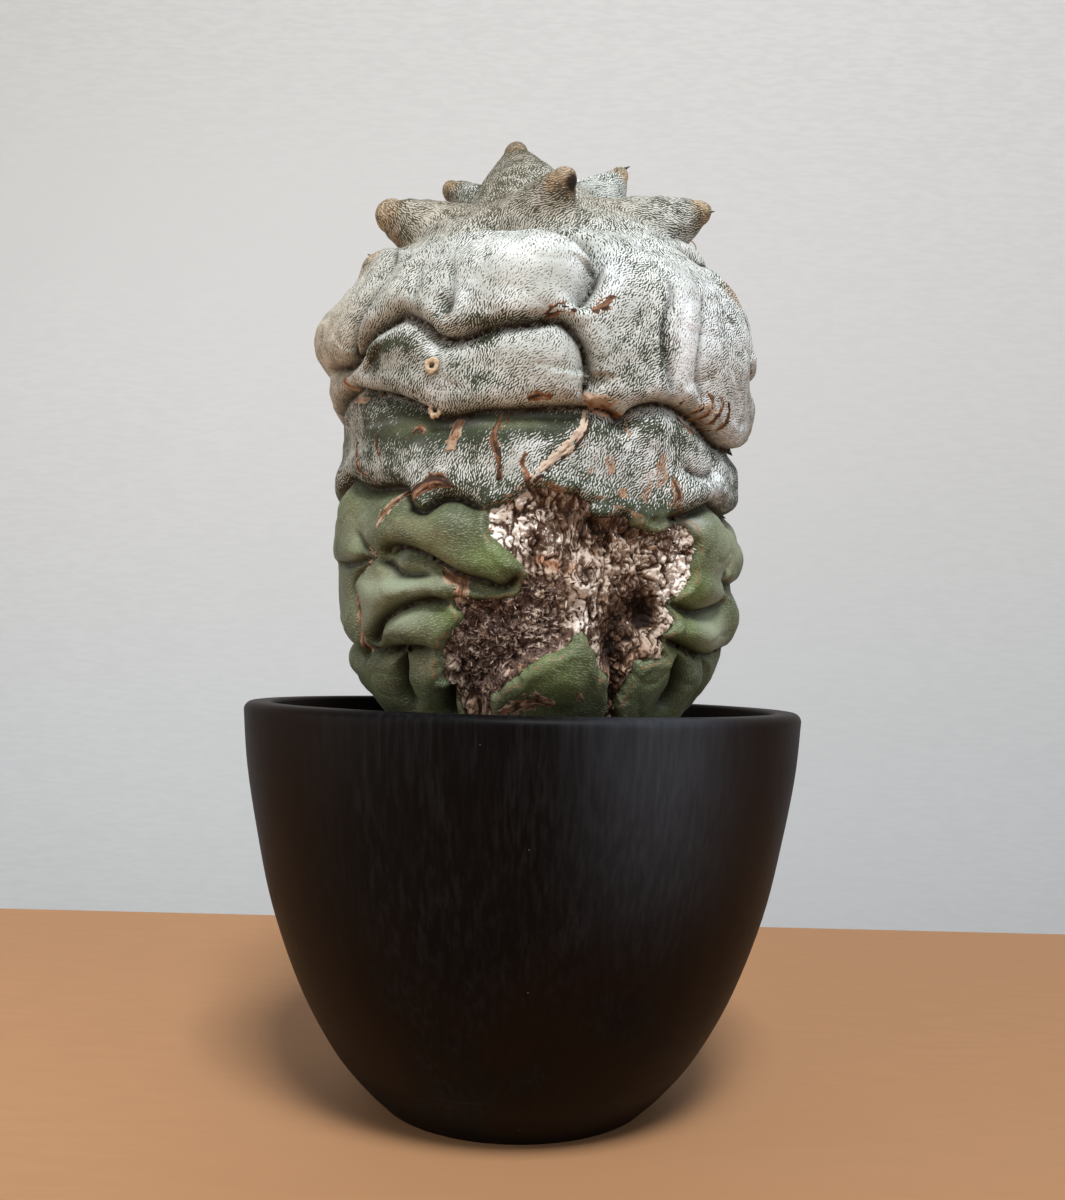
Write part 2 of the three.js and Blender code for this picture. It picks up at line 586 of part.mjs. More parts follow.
// One horn: a bent cone with a flaring foot and a rounded end.
function makeHornGeometry({ root, knee, tip, foot, end, flare }) {
  const curve = new THREE.QuadraticBezierCurve3(
    new THREE.Vector3(...root),
    new THREE.Vector3(...knee),
    new THREE.Vector3(...tip),
  );
  const shares = [0, 0.3, 0.55, 0.8, 1];
  const roundings = [45];
  const side = new THREE.Vector3();
  const rise = new THREE.Vector3();
  const ringAt = (centre, axis, radius) => {
    side.set(0.3, 1, 0.1).cross(axis).normalize();
    rise.crossVectors(axis, side);
    return Array.from({ length: hornSides }, (_, i) => {
      const angle = (2 * Math.PI * i) / hornSides;
      const point = centre.clone().addScaledVector(side, radius * Math.cos(angle));
      return point.addScaledVector(rise, radius * Math.sin(angle));
    });
  };
  const rings = shares.map((share) =>
    ringAt(curve.getPoint(share), curve.getTangent(share), end + (foot - end) * (1 - share) ** flare),
  );
  const axis = curve.getTangent(1);
  const endCentre = (height) => curve.getPoint(1).addScaledVector(axis, height);
  for (const angle of roundings) {
    rings.push(ringAt(endCentre(end * Math.sin(angle * radians)), axis, end * Math.cos(angle * radians)));
  }
  return ringSkin(curve.getPoint(0), rings, endCentre(end));
}

function makeCactusGeometry() {
  const body = solidFromGeometry(makeBodyGeometry());
  const hornSolids = horns.map((horn) => solidFromGeometry(makeHornGeometry(horn)));
  return geometryFromSolid(hornSolids.reduce((joined, horn) => joined.add(horn), body));
}

// The soil's top surface: higher by the stem than by the wall, and grainy.
function soilTop(x, y, share) {
  const level = THREE.MathUtils.lerp(soilAtStem, soilAtWall, share);
  const grain = Math.sin(x * 0.9 + 1.7 * Math.sin(y * 0.5)) * Math.cos(y * 0.8 - 1.3 * Math.sin(x * 0.4));
  return level + soilGrain * grain;
}

function makeSoilGeometry() {
  const stemHole = stemRows().filter((crest) => crest.height <= soilAtStem);
  const topSteps = 6;
  const topRadius = potInnerRadius(soilAtWall) - soilGap;
  const ring = (centreX, radiusAt, heightAt) =>
    Array.from({ length: potSides }, (_, i) => {
      const angle = (2 * Math.PI * i) / potSides;
      const radius = radiusAt(angle);
      const x = centreX + radius * Math.sin(angle);
      const y = -radius * Math.cos(angle);
      return new THREE.Vector3(x, y, heightAt(x, y));
    });
  const holeRings = stemHole
    .map(({ radius, height, normal }) =>
      ring(stemAxisX, () => radius + soilGap * normal.x + soilGap, () => height + soilGap * normal.y),
    )
    .reverse();
  const innerRadius = stemHole.at(-1).radius + 2 * soilGap;
  const topRings = Array.from({ length: topSteps + 1 }, (_, i) => {
    const share = 1 - i / (topSteps + 0.5);
    return ring(
      stemAxisX * (1 - share),
      () => innerRadius + (topRadius - innerRadius) * share,
      (x, y) => soilTop(x, y, share),
    );
  });
  const sideRings = innerWallHeights
    .slice(0, -1)
    .map((height) => ring(0, () => potInnerRadius(height) - soilGap, () => height));
  const floorHeight = floorThickness + soilGap;
  const floorRadius = potInnerRadius(innerWallHeights[0]) - floorRounding - 2 * soilGap;
  const floorRing = ring(0, () => floorRadius, () => floorHeight);
  const bottom = new THREE.Vector3(0, 0, floorHeight);
  const holeBottom = new THREE.Vector3(stemAxisX, 0, stemCrest[0].height - 2 * soilGap);
  return ringSkin(bottom, [floorRing, ...sideRings, ...topRings, ...holeRings], holeBottom);
}

function makeMesh(name, geometry, material) {
  const mesh = new THREE.Mesh(geometry, material);
  mesh.name = name;
  return mesh;
}

const potPlastic = new THREE.MeshStandardMaterial({ color: 0x1b1b1d, roughness: 0.5, metalness: 0 });
const pottingGrit = new THREE.MeshStandardMaterial({ color: 0x3d352c, roughness: 1, metalness: 0 });
const cactusSkin = new THREE.MeshStandardMaterial({ color: 0x8b927c, roughness: 0.8, metalness: 0 });

const pottedCactus = new THREE.Group();
pottedCactus.add(makeMesh("pot", makePotGeometry(), potPlastic));
pottedCactus.add(makeMesh("soil", makeSoilGeometry(), pottingGrit));
pottedCactus.add(makeMesh("cactus", makeCactusGeometry(), cactusSkin));

export default pottedCactus;
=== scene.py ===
"""A monstrose bishop's cap cactus in a round plastic pot, dressed for rendering.

Lengths are in millimetres while a form is worked out, and in metres on Blender's meshes. +Z is up
and the origin is the centre of the pot's foot. Azimuths go round the stem's own axis in degrees,
0 at -Y, where the wound is, and growing towards +X. On the stem's flank a degree of azimuth is
MM_PER_DEGREE wide, and no horn reaches below HORNS_ABOVE.
"""

import logging
import math
from dataclasses import dataclass, field
from enum import Enum
from functools import lru_cache
from typing import Any, Mapping, Optional, Sequence

import bpy
import numpy as np
from mathutils import Matrix, Vector


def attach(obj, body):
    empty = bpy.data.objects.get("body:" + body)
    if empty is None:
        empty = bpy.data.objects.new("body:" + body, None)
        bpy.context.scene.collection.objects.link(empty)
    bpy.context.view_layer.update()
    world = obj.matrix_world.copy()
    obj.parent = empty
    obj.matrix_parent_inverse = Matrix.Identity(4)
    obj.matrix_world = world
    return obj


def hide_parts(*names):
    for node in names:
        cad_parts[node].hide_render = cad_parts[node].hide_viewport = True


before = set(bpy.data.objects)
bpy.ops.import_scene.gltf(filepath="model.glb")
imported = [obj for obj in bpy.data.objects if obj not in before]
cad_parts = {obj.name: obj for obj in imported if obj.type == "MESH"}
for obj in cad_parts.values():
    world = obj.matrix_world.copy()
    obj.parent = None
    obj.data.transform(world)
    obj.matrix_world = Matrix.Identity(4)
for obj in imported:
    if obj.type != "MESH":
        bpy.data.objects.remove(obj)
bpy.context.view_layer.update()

logging.basicConfig(level=logging.INFO, format="%(message)s")
log = logging.getLogger("cactus")

MM = 0.001
RADIANS = math.pi / 180
MM_PER_DEGREE = 0.96
HORNS_ABOVE = 200.0
Colour = tuple[float, float, float]
Array = np.ndarray
Piece = bpy.types.Object
Material = bpy.types.Material


class Slot(Enum):
    """The record's material slots."""

    PLASTIC = "pot_plastic"
    GRIT = "potting_grit"
    SKIN = "cactus_skin"


class Node(Enum):
    """The CAD nodes that pieces here stand for."""

    POT = "pot"
    SOIL = "soil"
    CACTUS = "cactus"


def smoothstep(value: Array, low: float, high: float) -> Array:
    """Returns 0 below low, 1 above high and a smooth rise between them."""
    share = np.clip((value - low) / (high - low), 0, 1)
    return share * share * (3 - 2 * share)


def wrap_degrees(angle: Array) -> Array:
    """Returns an angle brought into -180 to 180 degrees."""
    return angle - 360 * np.round(angle / 360)


def unit(vectors: Array) -> Array:
    """Returns row vectors scaled to length 1."""
    return vectors / np.maximum(np.linalg.norm(vectors, axis=-1, keepdims=True), 1e-9)


def spline(points: Sequence[Sequence[float]], share: Array) -> Array:
    """Follows a smooth curve through points.

    Args:
        points: The points that the curve goes through.
        share: Where to evaluate it, from 0 at the first point to 1 at the last.

    Returns:
        One row for each share.
    """
    knots = np.asarray(points, float)
    place = np.clip(share, 0, 1) * (len(knots) - 1)
    index = np.minimum(place.astype(int), len(knots) - 2)
    t = (place - index)[:, None]
    before = knots[np.maximum(index - 1, 0)]
    start = knots[index]
    end = knots[index + 1]
    after = knots[np.minimum(index + 2, len(knots) - 1)]
    leave = (end - before) / 2
    arrive = (after - start) / 2
    cubic = (2 * start - 2 * end + leave + arrive) * t**3
    square = (-3 * start + 3 * end - 2 * leave - arrive) * t**2
    return cubic + square + leave * t + start


TABLE_SIZE = 4096


@lru_cache(maxsize=None)
def random_directions(seed: int) -> Array:
    """Returns a seeded table of unit vectors."""
    return unit(np.random.default_rng(seed).normal(size=(TABLE_SIZE, 3)))


@dataclass(frozen=True)
class GritNoise:
    """Smooth seeded noise over points in space."""

    seed: int

    def at(self, points: Array, size: float) -> Array:
        """Evaluates the noise.

        Args:
            points: Rows of two or three coordinates.
            size: Distance between two bumps, in the same unit.

        Returns:
            One value for each point, from about -1 to 1.
        """
        flat = np.zeros((len(points), 3))
        flat[:, : points.shape[1]] = points
        place = flat / size + 0.5 * self.seed
        cell = np.floor(place).astype(np.int64)
        local = place - cell
        fade = local**3 * (local * (local * 6 - 15) + 10)
        weights = np.stack([1 - fade, fade])
        table = random_directions(self.seed)
        hashed = [np.stack([cell[:, i], cell[:, i] + 1]) * prime
                  for i, prime in enumerate((73856093, 19349663, 83492791))]
        total = np.zeros(len(points))
        for i, j, k in np.ndindex(2, 2, 2):
            key = (hashed[0][i] ^ hashed[1][j] ^ hashed[2][k]) % TABLE_SIZE
            slope = np.einsum("ij,ij->i", table[key], local - (i, j, k))
            total += weights[i, :, 0] * weights[j, :, 1] * weights[k, :, 2] * slope
        return total * 1.6

    def layered(self, points: Array, size: float, layers: int = 3) -> Array:
        """Returns noise with finer and fainter layers added."""
        total = self.at(points, size)
        for layer in range(1, layers):
            total = total + self.at(points + 17.3 * layer, size / 2**layer) / 2**layer
        return total


@dataclass(frozen=True)
class CellField:
    """Irregular cells on a plane, each around a seeded point."""

    seed: int

    def at(self, places: Array, size: float) -> tuple[Array, Array, Array]:
        """Measures the cells.

        Args:
            places: Rows of two coordinates.
            size: Mean width of a cell, in the same unit.

        Returns:
            The distance to the nearest seed point and to the second nearest, both in cells,
            and a random number for each cell.
        """
        q = places / size
        cell = np.floor(q).astype(np.int64)
        nearest = np.full(len(q), 9.0)
        second = np.full(len(q), 9.0)
        mark = np.zeros(len(q))
        table = np.random.default_rng(self.seed).random((TABLE_SIZE, 3))
        for dx in (-1, 0, 1):
            for dy in (-1, 0, 1):
                other = cell + (dx, dy)
                key = ((other[:, 0] * 92837111) ^ (other[:, 1] * 689287499)) % TABLE_SIZE
                gap = np.linalg.norm(other + table[key, :2] - q, axis=1)
                closer = gap < nearest
                second = np.where(closer, nearest, np.minimum(second, gap))
                mark = np.where(closer, table[key, 2], mark)
                nearest = np.where(closer, gap, nearest)
        return nearest, second, mark


# The stem's form, the same as the CAD part's


@dataclass(frozen=True)
class Crease:
    """A crease between two lobes.

    depth and width are in mm, lip is how far the upper lobe stands out over the lower one, the
    route is a list of (azimuth, height), and shade is how far painted shade reaches above it, in mm.
    """

    depth: float
    width: float
    lip: float
    route: tuple[tuple[float, float], ...]
    closed: bool = False
    shade: float = 0.0


@dataclass(frozen=True)
class Spot:
    """A soft round spot on the stem: centre, half sizes in degrees and mm, and strength."""

    azimuth: float
    height: float
    wide: float
    tall: float
    rise: float


def spots(*rows: Sequence[float]) -> tuple[Spot, ...]:
    """Returns spots from rows of their values."""
    return tuple(Spot(*row) for row in rows)


@dataclass(frozen=True)
class Horn:
    """A horn of the crown: root, knee and tip in mm, end radii, and how its foot flares."""

    root: tuple[float, float, float]
    knee: tuple[float, float, float]
    tip: tuple[float, float, float]
    foot: float
    end: float
    flare: float


STEM_CURVE = (
    (0, 58), (14, 61), (25, 72), (31, 86), (36.5, 97), (43.5, 105), (49.5, 114), (52.6, 123),
    (54.2, 134), (55.3, 145), (54.6, 157), (55.2, 170), (58, 184), (59.4, 197), (57.2, 207),
    (53, 214), (47.5, 220.5), (42.5, 226), (36, 233), (26, 240), (13, 244.5), (0, 246),
)

# upright folds on the side away from the wound, which split its tiers into lobes: their
# depths in mm and their routes as (azimuth, height)
FOLD_WIDTH = 4.5
FOLDS = (
    (3.5, ((76, 221), (72, 212), (74, 203), (70, 196))),
    (3.5, ((112, 219), (116, 210), (110, 202), (113, 195))),
    (4, ((152, 219), (149, 210), (154, 202), (150, 196))),
    (3.5, ((196, 221), (200, 212), (195, 204), (198, 195))),
    (4, ((236, 220), (232, 212), (238, 202), (235, 192))),
    (3, ((270, 218), (273, 209), (268, 200), (271, 190))),
    (3, ((94, 195), (90, 187), (95, 177))),
    (3.5, ((134, 194), (138, 186), (132, 176))),
    (3, ((172, 193), (168, 185), (173, 176))),
    (3.5, ((214, 193), (218, 186), (212, 178))),
    (3, ((258, 192), (262, 186), (256, 179))),
    (3, ((86, 175), (90, 166), (84, 157))),
    (3, ((144, 178), (141, 168), (146, 156))),
    (3, ((200, 178), (205, 168), (199, 156))),
    (3, ((248, 178), (244, 168), (250, 157))),
    (4, ((104, 155), (100, 147), (106, 137))),
    (4, ((158, 154), (162, 146), (157, 136))),
    (4, ((210, 155), (206, 147), (211, 137))),
    (4, ((256, 156), (260, 148), (255, 138))),
    (4, ((124, 139), (128, 130), (123, 120))),
    (4, ((186, 139), (182, 130), (187, 121))),
    (4, ((236, 140), (240, 130), (234, 120))),
    (4.5, ((96, 119), (92, 111), (97, 102))),
    (4.5, ((140, 120), (144, 111), (138, 102))),
    (4.5, ((178, 121), (174, 112), (180, 102))),
    (4.5, ((218, 118), (222, 110), (216, 102))),
    (4.5, ((262, 118), (258, 110), (264, 102))),
)

CREASES = (
    # under the whorl of horns
    Crease(5.5, 5, -2.2, (
        (-60, 224), (-48, 221.5), (-40, 221.5), (-33, 222.5), (-25, 223), (-21, 227), (-18.5, 228.5),
        (-14, 224.5), (-9, 221.5), (-2, 222), (5, 221), (10, 218.5), (14, 213), (13.5, 208),
        (11, 203), (8, 198)), shade=3.0),
    Crease(4, 5, 0, (
        (46, 222), (62, 219), (84, 222), (108, 218), (134, 221), (160, 218), (188, 222),
        (214, 218), (240, 221), (268, 218), (300, 221))),
    # between the first and the second tier
    Crease(4.5, 4.2, 1.6, (
        (-73, 192), (-58, 190), (-48, 194), (-36, 198), (-33, 198), (-28, 195), (-25, 192),
        (-20, 191), (-12, 193), (-3, 194), (4, 195), (9, 190), (11, 183), (10, 176))),
    Crease(4.5, 6, 0.6, (
        (66, 196), (82, 193), (104, 197), (128, 193), (150, 196), (176, 192), (200, 195),
        (224, 191), (250, 194), (270, 190), (287, 192))),
    # round the foot of the second tier, which hangs over the third
    Crease(4.5, 4.2, 1.8, (
        (-57, 184), (-51, 182), (-39, 179), (-30, 175), (-27, 173), (-22, 173), (-14, 174),
        (-6, 174), (7, 175), (17, 175), (21, 173), (24, 176), (33, 178), (45, 176), (60, 172),
        (80, 174), (102, 178), (126, 175), (152, 179), (178, 175), (204, 179), (230, 175),
        (256, 179), (280, 182)), closed=True),
    # between the third and the fourth tier
    Crease(4.2, 4.0, 1.3, (
        (34, 151), (43, 153), (55, 157), (68, 155), (90, 158), (115, 153), (140, 157),
        (165, 153), (190, 158), (215, 154), (240, 158), (265, 155), (285, 161), (293, 163),
        (304, 159), (319, 158), (323, 157), (325, 154), (327, 152), (331, 151), (335, 154),
        (340, 154), (347, 151))),
    # under the long tongue on the left, and the lobes below it
    Crease(4.2, 2.9, 2.0, (
        (-44, 142), (-39, 143), (-33, 142), (-28, 140), (-20, 136), (-12, 134), (-8, 133),
        (-4, 136))),
    Crease(2.8, 2.6, -0.8, ((-45, 140), (-40, 138.5), (-36, 136), (-27, 136))),
    Crease(3.0, 2.8, 0.8, ((-86, 142), (-68, 140), (-56, 140), (-49, 141))),
    Crease(2.5, 4, 0, (
        (-58, 148), (-52, 144), (-48, 141), (-58, 137), (-60, 133), (-56, 129), (-55, 120),
        (-60, 115))),
    Crease(3.8, 2.8, 1.7, (
        (-49, 120), (-47, 122), (-44, 125), (-40, 127), (-34, 129), (-28, 130), (-22, 129))),
    Crease(5.5, 3.3, 1.8, ((-58, 118), (-47, 117), (-40, 118), (-28, 118))),
    Crease(7, 3.8, 0, ((-41, 117), (-43, 111), (-47, 103))),
    Crease(8, 4, 0, ((-31, 100), (-29, 105), (-26, 109))),
    # between the lobes on the right of the wound
    Crease(3.2, 2.8, 0, ((60, 155), (64, 148), (66, 142), (60, 138))),
    Crease(3.2, 2.8, 0.8, ((62, 138), (74, 137), (90, 139))),
    Crease(3.6, 3.0, 1.0, ((37, 131), (49, 129), (57, 130), (70, 133))),
    Crease(4.2, 3.2, 1.0, ((38, 122), (47, 120), (58, 118), (66, 118), (82, 121))),
    Crease(5.5, 4, 0, ((47, 118), (50, 111), (49, 104))),
    Crease(3.5, 4, 0, ((66, 118), (68, 112), (69, 105))),
    # the two upright folds on the upper right
    Crease(1.7, 1.7, -0.2, ((33, 209), (32.5, 204), (30, 198), (29.5, 192), (31.5, 186), (34, 178))),
    Crease(1.7, 5.0, 0, ((45, 208), (42, 200), (40, 192), (41, 185), (45, 180))),
    Crease(2, 4, 0, ((52, 178), (56, 168), (50, 163), (40, 164))),
    # small folds of the first tier on the left, beside its old scar
    Crease(1.0, 3.0, 0.2, ((-34, 214), (-31, 207), (-30, 200), (-28, 195.5))),
    Crease(0.9, 2.0, -0.3, ((-24, 213), (-22, 207), (-21, 201), (-22, 196))),
    Crease(4, 4.5, 0.8, ((-52, 221), (-47, 213), (-49, 205), (-52, 197), (-55, 190))),
    Crease(1.8, 4, 0.3, ((-40, 192), (-46, 189), (-51, 186))),
    # the lower tiers on the side away from the wound
    Crease(5, 5.5, 0.6, (
        (90, 139), (108, 136), (132, 140), (156, 135), (182, 140), (206, 136), (232, 141),
        (256, 137), (274, 142))),
    Crease(5, 5, 0.6, (
        (82, 121), (104, 117), (130, 121), (154, 118), (180, 122), (206, 117), (232, 121),
        (258, 118), (284, 121), (300, 116))),
    *(Crease(depth, FOLD_WIDTH, 0, route) for depth, route in FOLDS),
)

SWELLS = spots(
    (-78, 202, 20, 7.5, 3.4), (-62, 198, 9, 7, 1.2), (-38, 209, 5, 8, 1.4),
    (-1, 211, 12, 7, 3.2), (-22, 198, 1.8, 2.2, -1.3), (-44, 192, 5, 4, 1.2),
    (-42, 186, 8, 4, -1.2), (0, 186, 9, 7, 1.8), (-16, 184, 4, 8, -1.4),
    (37, 194, 5, 14, 1.4), (60, 194, 15, 15, 2.8), (88, 190, 14, 12, 1.8),
    (45, 157, 10, 6, 1.4), (-70, 173, 16, 6, -2.6), (-28, 148, 18, 6, 2.4),
    (-9, 139, 7, 5, 2.2), (-36, 132, 12, 4, 2.2), (-72, 132, 12, 7, -1),
    (-35, 123.5, 10, 4, 2.4), (-40, 138.3, 6, 1.6, 1.2), (-62, 122, 14, 7, 1.2), (-36, 110, 8, 5, 2),
    (8, 112, 12, 6, 2.2), (54, 145, 9, 6, 1.6), (82, 145, 9, 5, 2.2),
    (52, 135, 9, 4, 2), (86, 129, 14, 6, 2.4), (55, 124, 12, 3.5, 2),
    (58, 112, 7, 5, 1.8), (38, 110, 5, 5, 1.5), (120, 205, 16, 9, 1.5),
    (175, 184, 18, 8, 1.6), (225, 147, 16, 7, 1.8), (150, 129, 14, 6, 1.6),
    (255, 204, 14, 9, 1.6), (-6, 228, 34, 4.5, -5.5), (-66, 219, 16, 4, 2),
    (56, 222, 16, 5, 2.5), (-70, 228, 20, 4, -3.5), (72, 231, 20, 4, -3),
    (150, 229, 60, 4.5, -3), (-130, 229, 30, 4.5, -3),
)

WOUND_OUTLINE = (
    (-13, 151), (-11, 143), (-7, 141.5), (-4, 139), (-3.2, 135.5), (-6, 131), (-17, 131),
    (-23, 132), (-20, 126),
    (-25, 120), (-28, 114), (-26, 107), (-24, 98), (-16, 98), (-14, 106), (-9, 108), (-3, 113),
    (3, 117), (10, 120), (13, 122), (17, 116), (21, 112), (24, 106), (26, 98), (31, 98),
    (29, 109), (31, 116), (41, 117), (38, 122), (41, 127), (38, 131), (45, 138), (45, 143),
    (43, 151), (34, 150), (25, 150.5), (17, 154), (8, 156), (1, 157.5), (-5, 155),
)

WOUND_RELIEF = spots(
    (33, 128.5, 3.8, 5.6, -2.6), (28, 128, 6, 8, -2.2), (-14, 127, 8, 5, -2.2), (-12, 117, 9, 5, -1.4),
    (10, 136, 7, 5, 1.6), (17, 143, 8, 5, -1.2), (37, 141, 5, 6, 1.8),
    (37, 120, 3.5, 3, 2.6), (22, 118, 3, 7, -2), (3.5, 143.5, 2.6, 3.0, 1.8),
    (-4.5, 145.5, 3, 3, 1.5), (38, 126, 3.2, 2.8, 2.8), (12, 132, 2.6, 8, 1.0),
)

# slivers of green skin that are left inside the wound's outline
ISLANDS = spots(
    (-11, 132.5, 5, 1.3, 4.5), (16, 151.5, 3.4, 1.5, 5), (31, 149, 4, 1.6, 5),
)

HORNS = (
    Horn((-8, -11, 222), (-27, -13, 231), (-38.8, -12, 236.4), 16, 4.7, 0.9),
    Horn((-8, 6, 240), (-16, 15, 252), (-24.9, 20, 257.2), 9, 3.5, 1),
    Horn((-1, 2, 236), (-4.2, 3, 250), (-5.9, 4, 262), 24, 3.5, 0.95),
    Horn((-5, -6, 222), (0, -25, 230), (7.4, -35, 238.2), 19, 3.2, 0.9),
    Horn((10, 6, 240), (20, 10, 252), (24.5, 12, 259.8), 15, 2.7, 1.1),
    Horn((8, -10, 223), (30, -13, 233), (44.7, -12, 239.6), 18, 3.4, 0.85),
    Horn((37, -21, 221), (45, -25, 217), (50, -27, 211), 4.5, 2.0, 1),
    Horn((-28, -16, 216), (-35, -20, 221), (-41.5, -23, 218.5), 8, 2.6, 1),
    Horn((-2, 14, 226), (-8, 30, 238), (-12, 37, 246), 16, 3.2, 1.4),
    Horn((14, 14, 226), (28, 28, 238), (33, 36, 240), 13, 4, 1),
    Horn((-18, 12, 224), (-32, 28, 235), (-38, 34, 235), 12, 4, 1),
    Horn((4, 8, 240), (8, 14, 248), (9, 19, 253), 9, 2.8, 1.4),
    Horn((30, 30, 220), (38, 37, 221), (42, 41, 213), 7, 3, 1),
)


class CrestLine:
    """The stem's crest line from root to crown, and the way back from a point to it."""

    axis_x: float = 2.5
    samples: int = 900
    lookup_step: float = 0.5
    lookup_low: float = 50.0
    lookup_high: float = 275.0
    lookup_radius: float = 95.0

    def __init__(self) -> None:
        """Samples the line evenly and prepares the lookup table."""
        dense = spline(STEM_CURVE, np.linspace(0, 1, 20001))
        travelled = np.r_[0, np.cumsum(np.linalg.norm(np.diff(dense, axis=0), axis=1))]
        self.length = float(travelled[-1])
        self.along = np.linspace(0, self.length, self.samples)
        self.radius = np.maximum(np.interp(self.along, travelled, dense[:, 0]), 0)
        self.height = np.interp(self.along, travelled, dense[:, 1])
        tangent = unit(np.c_[np.gradient(self.radius), np.gradient(self.height)])
        self.tangent = tangent
        self.normal = np.c_[tangent[:, 1], -tangent[:, 0]]
        self.lookup = self.fill_lookup()

    def fill_lookup(self) -> Array:
        """Returns the nearest sample of the line for each node of a coarse grid."""
        radii = np.arange(0, self.lookup_radius, self.lookup_step)
        heights = np.arange(self.lookup_low, self.lookup_high, self.lookup_step)
        table = np.zeros((len(heights), len(radii)), int)
        for row, height in enumerate(heights):
            gap = (self.radius[None] - radii[:, None]) ** 2 + (self.height[None] - height) ** 2
            table[row] = gap.argmin(axis=1)
        return table

    def along_at(self, height: Array) -> Array:
        """Returns how far along the line a height of the rising flank is."""
        return np.interp(height, self.height, self.along)

    def height_at(self, along: Array) -> Array:
        """Returns the height of the line at a distance along it."""
        return np.interp(along, self.along, self.height)

    def radius_at(self, along: Array) -> Array:
        """Returns the radius of the line at a distance along it."""
        return np.interp(along, self.along, self.radius)

    def normal_at(self, along: Array) -> Array:
        """Returns the outward normal (radial, up) at a distance along the line."""
        parts = [np.interp(along, self.along, self.normal[:, i]) for i in (0, 1)]
        return unit(np.stack(parts, axis=-1))

    def uphill(self, azimuth: Array, along: Array) -> Array:
        """Returns the directions up the skin towards the crown."""
        radial, rising = (np.interp(along, self.along, self.tangent[:, i]) for i in (0, 1))
        angle = azimuth * RADIANS
        return np.stack([radial * np.sin(angle), -radial * np.cos(angle), rising], axis=1)

    def point(self, azimuth: Array, along: Array, offset: Array) -> Array:
        """Returns points in mm for an azimuth, a distance along the line and an offset."""
        normal = self.normal_at(along)
        radius = self.radius_at(along) + normal[..., 0] * offset
        height = self.height_at(along) + normal[..., 1] * offset
        angle = azimuth * RADIANS
        x = self.axis_x + radius * np.sin(angle)
        return np.stack([x, -radius * np.cos(angle), height], axis=-1)

    def coordinates(self, points: Array) -> tuple[Array, Array, Array]:
        """Finds where points lie round the stem.

        Args:
            points: Rows of x, y and z in mm.

        Returns:
            The azimuth, the distance along the line, and the offset from it.
        """
        x = points[:, 0] - self.axis_x
        rho = np.hypot(x, points[:, 1])
        azimuth = np.degrees(np.arctan2(x, -points[:, 1]))
        row = ((points[:, 2] - self.lookup_low) / self.lookup_step).round().astype(int)
        column = (rho / self.lookup_step).round().astype(int)
        row = np.clip(row, 0, self.lookup.shape[0] - 1)
        column = np.clip(column, 0, self.lookup.shape[1] - 1)
        start = self.lookup[row, column]
        candidates = np.clip(start[:, None] + np.arange(-4, 5), 0, self.samples - 1)
        gap = (self.radius[candidates] - rho[:, None]) ** 2
        gap += (self.height[candidates] - points[:, 2:3]) ** 2
        best = candidates[np.arange(len(points)), gap.argmin(axis=1)]
        dr = rho - self.radius[best]
        dh = points[:, 2] - self.height[best]
        along = self.along[best] + dr * self.tangent[best, 0] + dh * self.tangent[best, 1]
        offset = dr * self.normal[best, 0] + dh * self.normal[best, 1]
        return azimuth, np.clip(along, 0, self.length), offset


